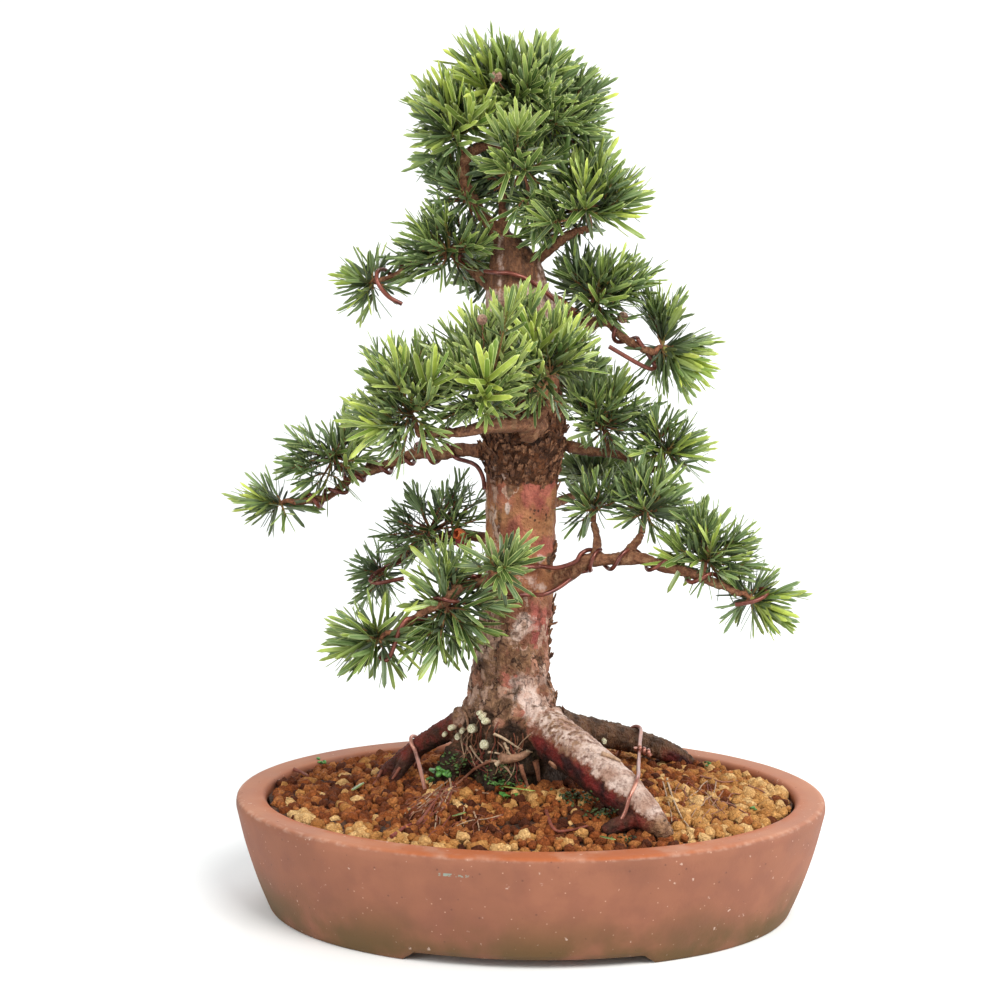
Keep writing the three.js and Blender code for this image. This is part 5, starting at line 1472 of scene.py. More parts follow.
# thin roots as redness, thickness in millimetres, and spots of the view that they lie on
rootlets = [
    (0.4, 3.0, [(502, 757), (512, 758), (524, 754), (533, 753)]),
    (0.05, 1.4, [(497, 765), (503, 759), (511, 757)]),
    (0.1, 0.8, [(505, 742), (508, 752), (514, 757)]), (0.15, 0.9, [(526, 751), (533, 752), (538, 749)]),
    (0.1, 0.7, [(488, 752), (497, 752), (506, 757)]),
    (0.1, 0.8, [(494, 733), (505, 738), (515, 746), (527, 752)]),
    (0.3, 0.9, [(486, 762), (497, 760), (507, 768), (513, 778)]),
    (0.55, 0.9, [(492, 760), (476, 768), (457, 785), (441, 790)]),
    (0.2, 0.6, [(508, 748), (506, 757), (501, 768)]), (0.2, 0.7, [(470, 745), (476, 756), (486, 766)]),
    (0.5, 1.3, [(521, 765), (524, 777), (528, 791)]), (0.5, 1.7, [(534, 760), (538, 771), (541, 784)]),
    (0.85, 1.0, [(547, 811), (550, 824), (556, 833), (573, 830), (592, 826)]),
    (0.95, 1.1, [(391, 837), (402, 830), (414, 822)]),
    (0.8, 1.0, [(418, 824), (428, 812), (439, 797)]),
    (0.25, 0.6, [(449, 777), (452, 787), (446, 800), (441, 812)]),
    (0.35, 0.6, [(476, 790), (484, 794), (493, 794)]), (0.2, 0.5, [(441, 803), (436, 818), (435, 832)]),
    (0.3, 0.5, [(474, 812), (478, 824), (480, 835)]), (0.75, 0.9, [(383, 770), (377, 779), (371, 788)]),
    (0.75, 0.9, [(400, 768), (395, 776), (390, 784)]), (0.8, 1.0, [(293, 770), (302, 773), (311, 779)]),
    (0.15, 0.6, [(667, 780), (673, 800), (682, 818), (690, 830)]),
    (0.25, 0.5, [(663, 783), (670, 806), (673, 826)]),
    (0.55, 0.6, [(700, 776), (722, 783), (741, 781)]), (0.6, 0.6, [(712, 800), (734, 806), (752, 818)]),
    (0.5, 0.5, [(748, 786), (764, 792), (776, 803)]), (0.3, 0.5, [(655, 768), (664, 776), (684, 778)]),
    (0.3, 1.3, [(601, 755), (612, 758), (624, 765)]), (0.4, 0.7, [(465, 712), (470, 722), (466, 732)]),
]
# cut root ends as spots of the view and radius
cutEnds = [
    (474, 728, 2.0), (487, 745, 2.2), (460, 735, 1.4), (453, 727, 1.3), (484, 715, 1.3), (487, 721, 1.5),
    (463, 729, 1.1), (481, 712, 1.0), (446, 733, 1.0), (603, 740, 1.2),
]
# tangles as count, starting spot, end, how far both stray, and thickness
tangles = [
    (24, (450, 787), (412, 820), (9, 5), (24, 13), (0.25, 0.5)),
    (16, (478, 730), (470, 775), (24, 18), (30, 12), (0.22, 0.42)),
    (12, (512, 745), (505, 780), (20, 12), (22, 8), (0.22, 0.42)),
    (12, (700, 785), (705, 815), (40, 12), (45, 14), (0.22, 0.4)),
    (8, (470, 815), (465, 832), (40, 10), (45, 8), (0.22, 0.36)),
]
rootletSettings = {
    "seed": 6, "reach": 55, "stray": 4.5, "stride": 4, "slope": 3.0, "leap": 5, "thinned": 0.55,
    "step": 0.8, "sides": 7, "tones": ("c9b494", "8f5d42", "7a2a20"), "dirt": "4a2a1c",
    "cut": ("a39d74", "dedbc0"), "ringAt": (553, 765), "ringReach": 2.3, "ringPoints": 22,
    # a cut end's line, as how far along, radius, and how much of the pale face shows
    "cutLine": [(-3, 1.35, 0.2), (0, 1.2, 0.4), (1.6, 1.2, 0.7), (2.4, 1.25, 1), (3.2, 1, 1)],
}


def smoothLine(line):
    for _ in range(2):
        inner = [(a + 2 * b + c) / 4 for a, b, c in zip(line, line[1:], line[2:])]
        line = [line[0], *inner, line[-1]]
    return line


def lieAlong(spots, lift, settings):
    # places under a path of the view; it stops where it would leap to a piece behind or before
    line, stride = [], settings["stride"]
    most = settings["slope"] * stride + settings["leap"]
    for start, end in zip(spots, spots[1:]):
        start, end = np.array(start, float), np.array(end, float)
        count = max(1, round(np.hypot(*(end - start)) / stride))
        for i in range(count):
            place = landAt(*mix(start, end, i / count), lift)
            if line and abs(place[1] - line[-1][1]) > most:
                return smoothLine(line)
            line.append(place)
    return smoothLine(line)


def rootletMaterial(settings):
    root = Finish("rootlet", Roughness=0.7)
    fine = root.cloud(700.0)
    body = root.coat(
        root.ramp(root.painted("tone"), *settings["tones"]), (fine * 0.45, settings["dirt"]),
        (root.painted("cut"), root.blend(root.cloud(1500.0), *settings["cut"])),
    )
    return root.close(body, height=fine)


def tangledRows(settings):
    # the thin roots of the table, and more in tangles
    rng = np.random.default_rng(settings["seed"])
    rows = list(rootlets)
    for count, begin, finish, strayBegin, strayEnd, thickness in tangles:
        for _ in range(count):
            start = np.array(begin) + rng.uniform(-1, 1, 2) * strayBegin
            end = np.array(finish) + rng.uniform(-1, 1, 2) * strayEnd
            end = start + (end - start) * min(1, settings["reach"] / np.hypot(*(end - start)))
            shares, stray = (0, 0.2, 0.4, 0.6, 0.8, 1), settings["stray"]
            spots = [mix(start, end, s) + rng.uniform(-stray, stray, 2) for s in shares]
            rows.append((rng.uniform(0.2, 1.0), rng.uniform(*thickness), spots))
    return rows


def makeRootlets(settings):
    points, edges, marks = [], [], {"share": [], "tone": [], "cut": []}

    def addLine(line, shares, redness, cuts):
        for i, (place, *values) in enumerate(zip(line, shares, [redness] * len(line), cuts)):
            if i:
                edges.append((len(points) - 1, len(points)))
            points.append(np.array(place) * mm)
            for name, value in zip(marks, values):
                marks[name].append(value)

    for redness, thick, spots in tangledRows(settings):
        places = lieAlong(spots, 0.4 * thick + 0.3, settings)
        if len(places) < 3:
            continue
        limb = Limb([(*place, 1) for place in places])
        along = np.linspace(0, 1, 3 * (len(places) - 1) + 1)
        shares = [thick * mix(1, settings["thinned"], s) for s in along]
        addLine([limb.at(s) for s in along], shares, redness, [0] * len(along))
    for across, down, radius in cutEnds:
        place, normal = castAt(across, down)
        outward = unit(normal + 0.8 * unit(np.array((-0.4, -1, -0.1))))
        steps, shares, cuts = zip(*settings["cutLine"])
        addLine([place + outward * s for s in steps], [radius * s for s in shares], 0.3, cuts)
    place, normal = castAt(*settings["ringAt"])
    side = unit(np.cross(normal, (0, 0, 1)))
    other, count = np.cross(normal, side), settings["ringPoints"]
    ring = [side * math.cos(a) + other * math.sin(a) for a in np.linspace(0, 6.28, count)]
    addLine([place + settings["ringReach"] * p for p in ring], [0.7] * count, 0.45, [0] * count)
    piece = meshObject("rootlets", points, edges=edges)
    paint(piece, **marks)
    step, finish = settings["step"] * mm, rootletMaterial(settings)
    barTree.run(piece, Radius=mm, Step=step, Sides=settings["sides"], Finish=finish)
    settle(piece, "bark")


makeRootlets(rootletSettings)


tuftSettings = {
    "seed": 8, "lift": 0.35, "shape": (1.0, 0.72, 0.26), "old": ("1f2a10", "4a5a26"),
    "fresh": ("2c6426", "64a046"),
    # leaves and moss as across, down, half widths of the patch, count, leaf size and freshness
    "patches": [
        (445, 771, 5, 4, 8, 2.6, 0.9), (430, 780, 5, 3, 6, 2.0, 0.7), (499, 783, 12, 4, 26, 1.3, 0.6),
        (487, 778, 6, 4, 12, 1.2, 0.3), (322, 762, 3, 2, 5, 1.6, 0.8), (708, 764, 3, 2, 5, 1.4, 0.8),
        # the dark old moss at 575 and 600 across lies thick under the front root, partly as painted shade of
        # the root
        (755, 808, 3, 2, 4, 1.5, 0.7), (575, 797, 20, 8, 80, 1.2, 0.0), (455, 762, 18, 10, 50, 1.1, 0.15),
        (500, 772, 24, 10, 60, 1.0, 0.05), (600, 812, 16, 6, 50, 1.2, 0.0),
        (520, 783, 10, 5, 16, 1.0, 0.1), (628, 838, 10, 4, 12, 1.1, 0.0),
    ],
}


def leafMaterial(settings):
    leaf = Finish("weedLeaf", Roughness=0.5)
    fine = leaf.cloud(600.0)
    old, fresh = (leaf.blend(fine, *settings[name]) for name in ("old", "fresh"))
    return leaf.close(leaf.blend(leaf.painted("fresh"), old, fresh), None, fine, 0.4, 0.0003)


def tuftTree():
    # one leaf on each point, turned at random and as large as the point says
    tree = GeometryTree("tufts", Shapes="Collection", Seed=1, Finish="Material")
    dots = tree.out("GeometryNodeMeshToPoints", {"Mesh": tree.start})
    turn = tree.chance((-0.7, -0.7, 0), (0.7, 0.7, 6.28), tree.entry["Seed"])
    leaves = tree.planted(dots, turn, tree.named("size"))
    return tree.close(tree.coated(tree.softened(leaves)))


def makeTufts(settings, finish):
    rng = np.random.default_rng(settings["seed"])
    points, sizes, fresh = [], [], []
    for across, down, wide, tall, count, size, youth in settings["patches"]:
        for _ in range(count):
            spot = (across + rng.normal(0, 0.5) * wide, down + rng.normal(0, 0.5) * tall)
            points.append(landAt(*spot, settings["lift"] * size) * mm)
            sizes.append(size * rng.uniform(0.7, 1.2) * mm)
            fresh.append(youth * rng.uniform(0.6, 1.1))
    ball = bmesh.new()
    bmesh.ops.create_icosphere(ball, subdivisions=1, radius=1.0)
    bmesh.ops.scale(ball, vec=settings["shape"], verts=ball.verts)
    shapes = shapeBox("leafShapes", [lumpObject("leaf", ball)])
    piece = meshObject("tufts", points)
    paint(piece, size=sizes, fresh=fresh)
    tuftTree().run(piece, Shapes=shapes, Seed=settings["seed"], Finish=finish)
    dropShapes(shapes)
    settle(piece, "weed")


def scaledMaterial(name, deep, light, gap, top, size):
    # small overlapping scales, with a paler painted highlight where they face up
    skin = Finish(name, Roughness=0.65)
    crack, own, _ = skin.effect("plates", scale=size, stretch=0.8, width=0.12)
    up = skin.parts(skin.out("ShaderNodeNewGeometry", output="Normal"))[2]
    body = skin.blend(own, deep, light)
    body = skin.coat(body, (crack * 0.7, gap), (up.spread(0.3, 0.95) * 0.7, top))
    return skin.close(body, None, own - crack, 0.6)


def screenMaterial():
    # dark moulded mesh: raised bars both ways
    screen = Finish("mesh", Roughness=0.5)
    waves = [screen.calc("SINE", part * 3000.0) for part in screen.parts(screen.place)[:2]]
    bars = screen.calc("MAXIMUM", *waves).spread(0.2, 0.7)
    dust = screen.cloud(300.0, 0.4, 0.7)
    body = screen.coat(screen.blend(bars, "0c0c0c", "2e2d2b"), (dust * 0.4, "6b513c"))
    return screen.close(body, None, bars, 0.6, 0.0008)


def fruitBits(finish):
    # two dried lumps that hang under the cup
    cup = frame["nodes"]["aril"]
    middle = np.mean([cup.matrix_world @ Vector(corner) for corner in cup.bound_box], axis=0) / mm
    shapes = []
    for number, (offset, size) in enumerate((((0.6, 0.4, -4.2), 2.5), ((3.8, 0.6, -7.2), 2.5))):
        lump = bmesh.new()
        bmesh.ops.create_icosphere(lump, subdivisions=3, radius=size)
        for vertex in lump.verts:
            vertex.co *= 1 + 0.35 * noise.noise(vertex.co * 0.7 + Vector((number * 5, 0, 0)))
        points = [np.array(vertex.co) + middle + offset for vertex in lump.verts]
        lump.verts.ensure_lookup_table()
        shapes.append((points, [tuple(v.index for v in face.verts) for face in lump.faces]))
        lump.free()
    points, faces = joinShapes(shapes)
    piece = meshObject("driedFruit", np.array(points) * mm, faces, materials=[finish])
    settle(piece, "aril")


def dressNodes():
    leaf = leafMaterial(tuftSettings)
    finishes = {
        # the fourth colour of each is the painted highlight on the faces that look up
        "bud": scaledMaterial("budScales", "6f4a3a", "a37c66", "4a2d22", "c2a78e", 700.0),
        "aril": scaledMaterial("driedCup", "b0401c", "dd6f33", "7c2414", "e2874a", 500.0),
        "weed": leaf, "drainage": screenMaterial(),
    }
    for name, node in frame["nodes"].items():
        for start, finish in finishes.items():
            if name.startswith(start):
                recoat(node, finish)
                if start == "weed":
                    paint(node, fresh=np.full(len(node.data.vertices), 0.9))
    fruitBits(scaledMaterial("driedLump", "5c1016", "9c2429", "3a0a0c", "b23a3a", 420.0))
    makeTufts(tuftSettings, leaf)


dressNodes()
print("rootlets, leaves and small nodes made")


needleSettings = {
    "length": 18.6, "width": 2.45, "thickness": 0.6, "spacing": 0.98,
    "baseTilt": 66, "tipTilt": 16, "lift": 0.1,
    # width at shares of the length, as shares of the full width
    "outline": [(0.0, 0.45), (0.1, 0.9), (0.5, 1.0), (0.87, 0.84)],
    # how much each shape bends and twists
    "shapes": [(0.0, 0.0), (0.1, 0.35), (-0.07, -0.3), (0.16, 0.15)],
}
needleTones = {
    "old": ("132c0d", "4a712b"), "young": ("618529", "ccd858"), "grey": ("536c42", "a6b48c"),
    "under": ("5f7f4a", "94a878"), "rib": "a3b870", "foot": "b5b04a", "shaded": "142b0d",
    # edge is the pale margin and tip, partly painted highlight; shaded and deep are used for painted shade
    "deep": "0a1606", "edge": "d3de8c",
}


def needleShape(name, bend, twist, settings):
    # a flat narrow needle along +Z, upper face towards +X, with a raised midrib
    length, outline = settings["length"], settings["outline"]
    points = []
    for share, wide in outline:
        half = wide * settings["width"] / 2
        deep = settings["thickness"] * (0.6 + 0.4 * wide) / 2
        cosine, sine = math.cos(twist * share), math.sin(twist * share)
        for across, out in ((-half, 0), (0, deep * 0.7), (half, 0), (0, -deep)):
            x = bend * length * share ** 2 + out * cosine - across * sine
            points.append((x * mm, (across * cosine + out * sine) * mm, share * length * mm))
    points.append((bend * length * mm, 0, length * mm))
    # the faces with their places on the map: half a unit for each side, and the share of the length
    faces, coordinates = [], []
    for i, (low, _) in enumerate(outline):
        first = i * 4
        for j in range(4):
            k, side = (j + 1) % 4, j / 2
            if i < len(outline) - 1:
                high = outline[i + 1][0]
                faces.append((first + k, first + j, first + j + 4, first + k + 4))
                coordinates += [(side + 0.5, low), (side, low), (side, high), (side + 0.5, high)]
            else:
                faces.append((first + k, first + j, len(points) - 1))
                coordinates += [(side + 0.5, low), (side, low), (side + 0.25, 1.0)]
    faces.append((0, 1, 2, 3))
    coordinates += [(0.5, 0)] * 4
    needle = meshObject(name, points, faces)
    layer = needle.data.uv_layers.new(name="UVMap")
    layer.data.foreach_set("uv", np.array(coordinates, np.float32).ravel())
    for edge in needle.data.edges:
        if {vertex % 4 for vertex in edge.vertices} in ({0}, {2}):
            edge.use_edge_sharp = True
    return needle


def needleMaterial(tones):
    leaf = Finish("yewNeedle", Specular_IOR_Level=0.52)
    side, along, _ = leaf.parts(leaf.out("ShaderNodeUVMap", uv_map="UVMap"))
    mark, under = leaf.painted("tone"), side > 1.02

    def tone(name, factor=mark):
        return leaf.blend(factor, *tones[name])

    fresh = leaf.painted("youth") + along.spread(0.45, 1.0, 0.0, 0.3) * mark
    offMiddle = abs(side - 0.5)
    # the lower part of each needle is painted darker, as shade from its shoot
    hollow = along.spread(0.6, 0.05) * (0.5 - fresh * 0.35)
    # the pale margins and tip are partly the needle's own paler rim and partly a painted highlight
    edge = offMiddle.spread(0.34, 0.47) * (side < 1.0) * 0.72
    edge = leaf.calc("MAXIMUM", edge, along.spread(0.88, 1.0, 0.0, 0.6))
    band = abs(side - 1.5).spread(0.06, 0.16)
    aged = 1.0 - leaf.calc("MINIMUM", fresh * 0.9, 0.9)
    body = leaf.coat(
        tone("old"), (leaf.painted("grey") * mark, tone("grey")), (fresh, tone("young")),
        (offMiddle.spread(0.12, 0.02) * 0.3, tones["rib"]), (hollow, tones["shaded"]),
        (edge, tones["edge"]), (along.spread(0.12, 0.0) * 0.5, tones["foot"]),
        (under * 0.7 * aged, tone("under", band)),
        (leaf.cloud(420.0, 0.35, 0.7) * 0.16, tones["shaded"]),
        # needles low on each shoot are darkened: partly older needles, partly painted shade inside the pad
        (leaf.painted("inner") * 0.88, tones["deep"]),
    )
    veins = leaf.out("ShaderNodeTexNoise", {"Vector": leaf.place, "Scale": 1800.0, "Detail": 2.0})
    return leaf.close(body, under * 0.2 + 0.32, veins, 0.15, 0.0002)


def twigMaterial():
    twig = Finish("twig", Roughness=0.75)
    fine = twig.cloud(700.0)
    body = twig.coat(twig.blend(fine, "5a3220", "8f5a3a"), (twig.painted("youth"), "7c8a3a"))
    return twig.close(body, height=fine)


def sprayTree():
    # needles set in a spiral along each shoot, from the shoot's painted numbers
    tree = GeometryTree(
        "needleSpray", Shapes="Collection", Spacing=0.0008, Lift=0.1, Hub="Vector", Seed=1,
        Needles="Material", Twigs="Material",
    )
    entry, vector, named = tree.entry, tree.vector, tree.named

    def stray(low, high, number):
        return tree.chance(low, high, entry["Seed"] + float(number))

    line = tree.out("GeometryNodeMeshToCurve", {"Mesh": tree.start})
    twig = tree.coated(tree.bar(line, 5, 1.0, named("twigRadius")), "Twigs")
    points = tree.toned(tree.resampled(line, entry["Spacing"]), entry["Seed"] + 11.0)
    tangent, across, place = (
        tree.out("GeometryNodeInput" + name) for name in ("Tangent", "Normal", "Position")
    )
    number = tree.out("GeometryNodeSplineParameter", output="Index")
    inputs = {
        "Vector": across, "Axis": tangent, "Angle": number * goldenAngle + stray(-0.35, 0.35, 1),
    }
    radial = tree.out("ShaderNodeVectorRotate", inputs, rotation_type="AXIS_ANGLE")
    tilt = named("tilt") + stray(-0.3, 0.3, 2)
    aim = vector(
        "ADD", vector("SCALE", tangent, scale=tree.calc("COSINE", tilt)),
        vector("SCALE", radial, scale=tree.calc("SINE", tilt)),
    )
    aim = vector("ADD", aim, tree.out("ShaderNodeCombineXYZ", {"Z": entry["Lift"]}))
    # the upper faces turn towards the shoot's tip, out of the pad and away from the trunk
    fromHub = vector("NORMALIZE", vector("SUBTRACT", place, entry["Hub"]))
    level = vector("NORMALIZE", vector("MULTIPLY", place, (1.0, 1.0, 0.0)))
    facing = vector("ADD", vector("SCALE", fromHub, scale=0.8), tangent)
    facing = vector("ADD", facing, vector("SCALE", level, scale=1.3))
    facing = vector("ADD", facing, tree.chance((-0.6, -0.6, -0.6), (0.6, 0.6, 0.6), 14))
    needles = tree.planted(
        points, tree.turned(facing, "X", tree.turned(aim, "Z"), "Z"),
        named("size") * stray(0.76, 1.14, 3), Selection=named("leafy") > 0.5, Pick_Instance=True,
        Instance_Index=tree.chance(0, len(needleSettings["shapes"]) - 1, 4),
    )
    both = tree.put("GeometryNodeJoinGeometry")
    for geometry in (tree.coated(needles, "Needles"), twig):
        tree.join(geometry, both.inputs[0])
    return tree.close(tree.softened(Value(tree, both.outputs[0])))


# each pad of foliage: where its stem leaves the wood, its middle and half sizes, its manner, and
# the shoots that the view shows. A manner is how many unseen shoots fill the back, how fresh they
# are, the needles' size, how far the shoots turn up, how grey the needles are, and the share of
# shoots with a twin. A shoot is across and down in a 1000 wide view, depth in millimetres, and
# how fresh it is
pads = {
    "crown_top": ((-12, 1, 397), (-11, 0, 415), (31, 26, 27), (9, 0.6, 1.08, 0.22, 0.15, 1), [
        (503, 62, -8, 0.9), (488, 62, -5, 0.8), (530, 62, 0, 0.5), (548, 68, -4, 0.5),
        (515, 76, 10, 0.4), (480, 84, -14, 0.95), (560, 78, 4, 0.5), (500, 104, -12, 0.4),
        (472, 66, 5, 0.7), (540, 95, -12, 0.2), (520, 90, 18, 0.3), (575, 90, 10, 0.4),
        (514, 102, -14, 0.5), (528, 84, -12, 0.2), (555, 98, -8, 0.15),
    ]),
    "crown_left": ((-36, 0, 375), (-39, -4, 399), (24, 22, 25), (7, 0.5, 1.04, 0.15, 0.2, 1), [
        (448, 98, -6, 1), (456, 108, -14, 0.98), (439, 122, 0, 0.73), (446, 138, -5, 0.68),
        (451, 128, -14, 0.53), (443, 152, 0, 0.53), (470, 108, -10, 0.63), (480, 118, -17, 0.93),
        (464, 92, 5, 0.88), (435, 102, 7, 0.78),
    ]),
    "crown_right": ((-14, 2, 387), (17, 4, 403), (22, 20, 24), (7, 0.4, 0.88, 0.22, 0.15, 1), [
        (569, 112, -8, 0.4), (590, 105, 5, 0.75), (592, 125, 6, 0.55), (560, 120, -16, 0.3),
        (578, 86, 5, 0.5), (592, 92, 8, 0.5), (585, 138, 4, 0.35), (551, 106, -14, 0.3),
        (545, 125, -12, 0.2), (575, 130, -5, 0.3), (556, 136, -8, 0.15), (532, 112, -6, 0.15),
    ]),
    "crown_low_right": ((26, -9.5, 345), (32, -8, 360), (25, 21, 20), (7, 0.4, 0.98, 0.2, 0.05, 1), [
        (584, 186, -16, 0.65), (600, 184, -8, 0.75), (618, 192, -8, 0.8), (617, 213, -13, 0.98),
        (586, 206, -20, 0.4), (598, 166, 0, 0.7), (572, 180, -4, 0.45), (604, 214, -6, 0.35),
        (560, 157, -2, 0.85), (577, 226, -4, 0.1), (546, 222, -22, 0.3), (550, 204, -8, 0.15),
        (562, 196, -12, 0.25), (548, 238, -8, 0.1), (574, 160, 4, 0.5), (590, 150, 8, 0.4),
    ]),
    "crown_front": ((-1, -10, 380), (-6, -31, 375), (25, 19, 23), (1, 0.4, 1.02, 0.12, 0.15, 0.5), [
        (518, 128, -38, 0.45), (506, 172, -34, 0.35), (510, 134, -31, 0.3), (526, 168, -28, 0.15),
        (528, 130, -24, 0.2), (540, 184, -12, 0.05), (541, 163, -14, 0.1), (545, 215, -14, 0.05),
        (482, 160, 12, 0.15), (494, 182, 14, 0.1), (508, 205, 12, 0.1), (480, 196, 12, 0.1),
        (500, 160, 16, 0.1), (520, 186, 14, 0.1), (530, 205, 10, 0.05), (474, 176, 16, 0.1),
    ]),
    "crown_low_left": ((-28, 0, 352), (-45, 5, 368), (18, 18, 17), (7, 0.2, 0.82, 0.1, 0.1, 1), [
        (452, 166, 4, 0.3), (449, 184, 2, 0.3), (461, 190, -6, 0.3), (462, 205, 0, 0.2),
        (478, 208, -4, 0.15), (483, 217, 2, 0.1), (486, 200, 6, 0.1), (444, 170, 8, 0.25),
    ]),
    "crown_back": ((-16, 4, 376), (-4, 34, 390), (27, 25, 27), (31, 0.4, 0.92, 0.2, 0.1, 0), []),
    "upper_left": ((-41, 5, 330), (-46, 5, 337), (25, 20, 20), (7, 0.3, 0.82, 0.12, 0.1, 1), [
        (445, 222, -2, 0.65), (418, 226, 2, 0.6), (426, 238, -6, 0.5), (412, 250, 4, 0.45),
        (441, 248, -8, 0.45), (464, 240, -8, 0.25), (475, 249, -4, 0.35), (426, 262, 0, 0.45),
        (416, 272, 4, 0.5), (439, 270, -6, 0.3), (450, 230, 4, 0.4), (462, 268, -2, 0.2),
        (470, 227, 6, 0.2), (481, 262, 0, 0.2), (455, 254, 2, 0.2), (436, 228, 8, 0.4),
    ]),
    "upper_left_tip": ((-78, 4, 317), (-86, 3, 316), (16, 16, 16), (3, 0.4, 0.88, 0.1, 0.1, 1), [
        (362, 281, 2, 0.9), (366, 292, 0, 0.7), (366, 272, 6, 0.45), (380, 284, 4, 0.2),
        (372, 300, 6, 0.4),
    ]),
    "upper_right": ((25, 2, 298), (33, 8, 315), (24, 20, 22), (7, 0.3, 0.88, 0.15, 0.05, 1), [
        (601, 274, -6, 0.5), (618, 268, -2, 0.7), (628, 279, 0, 0.7), (600, 300, -10, 0.4),
        (634, 290, 4, 0.5), (572, 268, 6, 0.2), (575, 288, 6, 0.15), (590, 264, 8, 0.3),
        (616, 304, -8, 0.5), (591, 308, -6, 0.3), (562, 279, 10, 0.15), (608, 318, -4, 0.2),
        (612, 286, -4, 0.55), (586, 282, 0, 0.3),
    ]),
    "upper_right_tip": ((59, 0, 283), (67, 0, 286), (26, 20, 20), (3, 0.5, 0.94, -0.05, 0.2, 0.8), [
        (650, 303, 2, 0.5), (660, 308, 0, 0.65), (668, 319, -2, 0.7), (655, 320, 4, 0.4),
        (686, 358, 0, 1.0), (688, 367, -4, 1.0), (678, 371, -6, 0.85), (664, 373, 2, 0.5),
        (684, 350, 4, 0.85), (670, 356, 2, 0.6), (654, 366, 4, 0.3),
    ]),
    "pad_left": ((-55, -55, 248), (-58, -52, 268), (28, 24, 24), (7, 0.5, 1.0, 0.1, 0.7, 1), [
        (374, 428, -62, 0.98), (386, 378, -48, 0.9), (396, 386, -52, 0.5), (434, 378, -63, 0.9),
        (415, 360, -48, 0.5), (400, 373, -57, 0.8), (393, 354, -42, 0.45), (386, 430, -64, 0.5),
        (412, 396, -62, 0.4), (426, 428, -60, 0.5), (370, 406, -44, 0.6), (394, 440, -57, 0.4),
        (430, 400, -66, 0.3), (396, 412, -60, 0.35), (404, 430, -56, 0.3),
    ]),
    "pad_middle": ((-22, -42, 251), (-25, -44, 282), (27, 24, 31), (9, 0.5, 1.0, 0.25, 0.85, 0.9), [
        (487, 376, -72, 1.0), (486, 398, -72, 0.75), (507, 312, -68, 0.5), (460, 386, -64, 0.4),
        (430, 345, -42, 0.45),
        (450, 336, -42, 0.45), (470, 336, -46, 0.5), (496, 318, -48, 0.5), (515, 307, -45, 0.6),
        (533, 308, -42, 0.65), (474, 356, -58, 0.4), (450, 365, -60, 0.4), (505, 346, -60, 0.5),
        (476, 408, -64, 0.3), (455, 408, -62, 0.3), (500, 408, -60, 0.4), (441, 420, -58, 0.35),
        (520, 360, -58, 0.55), (485, 332, -52, 0.45), (508, 378, -62, 0.4), (466, 372, -66, 0.3),
    ]),
    "pad_right": ((8, -33, 264), (9, -34, 286), (21, 21, 25), (7, 0.5, 0.98, 0.1, 0.7, 0.9), [
        (530, 337, -49, 0.9), (545, 346, -42, 0.5), (540, 375, -46, 0.5), (561, 346, -36, 0.85),
        (571, 362, -34, 0.8), (560, 371, -32, 0.4), (536, 398, -44, 0.35), (521, 386, -48, 0.4),
        (574, 337, -30, 0.5), (552, 326, -36, 0.4), (584, 350, -28, 0.4), (516, 396, -50, 0.4),
        (550, 390, -38, 0.3), (528, 358, -50, 0.4),
    ]),
    "left_middle": ((-100, 16, 222), (-103, 14, 234), (29, 22, 20), (5, 0.3, 0.82, 0.15, 0.1, 1), [
        (312, 450, 10, 0.5), (352, 446, 4, 0.45), (330, 436, 18, 0.3), (345, 426, 20, 0.35),
        (301, 460, 8, 0.45), (369, 431, 16, 0.3), (324, 487, 2, 0.75), (311, 467, 0, 0.3),
        (350, 468, -2, 0.3), (360, 446, 12, 0.3), (322, 452, 6, 0.35),
    ]),
    "left_middle_tip": ((-119, 0, 206), (-127, 0, 204), (19, 17, 16), (3, 0.5, 0.88, 0, 0.1, 1), [
        (266, 500, 0, 0.85), (274, 506, 4, 0.5), (284, 511, -2, 0.4), (265, 512, 0, 0.6),
        (277, 496, 4, 0.3), (262, 506, -4, 0.7),
    ]),
    "right_middle": ((37, 14, 231), (34, 11, 251), (24, 20, 20), (5, 0.4, 0.95, 0.1, 0.35, 1), [
        (597, 417, 3, 0.35), (595, 400, 0, 0.4), (618, 396, 6, 0.8), (585, 386, 10, 0.3),
        (608, 386, 14, 0.3), (629, 406, 10, 0.45), (576, 410, 6, 0.2), (610, 434, 6, 0.2),
        (590, 430, 2, 0.2), (632, 430, 14, 0.2), (606, 404, 8, 0.5), (584, 402, 8, 0.25),
    ]),
    "right_middle_tip": ((64, 10, 225), (72, 10, 236), (20, 17, 17), (4, 0.3, 0.88, 0.15, 0.1, 1), [
        (658, 436, 6, 0.5), (654, 446, 2, 0.4), (671, 433, 8, 0.4), (683, 442, 6, 0.7),
        (675, 452, 2, 0.85), (691, 450, 8, 0.55), (646, 426, 14, 0.3), (641, 448, 10, 0.2),
    ]),
    "right_low": ((54, -14, 195), (58, -9, 208), (22, 20, 19), (5, 0.3, 0.98, 0.12, 0.25, 0.7), [
        (643, 506, -17, 0.3), (655, 490, -10, 0.4), (667, 486, -6, 0.6), (640, 481, 0, 0.25),
        (660, 473, 4, 0.35), (671, 500, -4, 0.3), (631, 518, -14, 0.2), (652, 524, -10, 0.3),
        (620, 500, -4, 0.2), (680, 515, 0, 0.25), (650, 506, -6, 0.25), (628, 490, 2, 0.2),
    ]),
    "right_low_near": ((30, -1, 198), (29, 2, 210), (17, 19, 18), (4, 0.15, 0.88, 0.15, 0.05, 0.7), [
        (600, 490, -2, 0.15), (590, 500, -4, 0.15), (582, 489, 2, 0.15), (612, 488, 4, 0.2),
        (586, 511, -6, 0.15), (600, 508, -8, 0.15), (576, 504, 4, 0.15), (624, 487, 8, 0.4),
    ]),
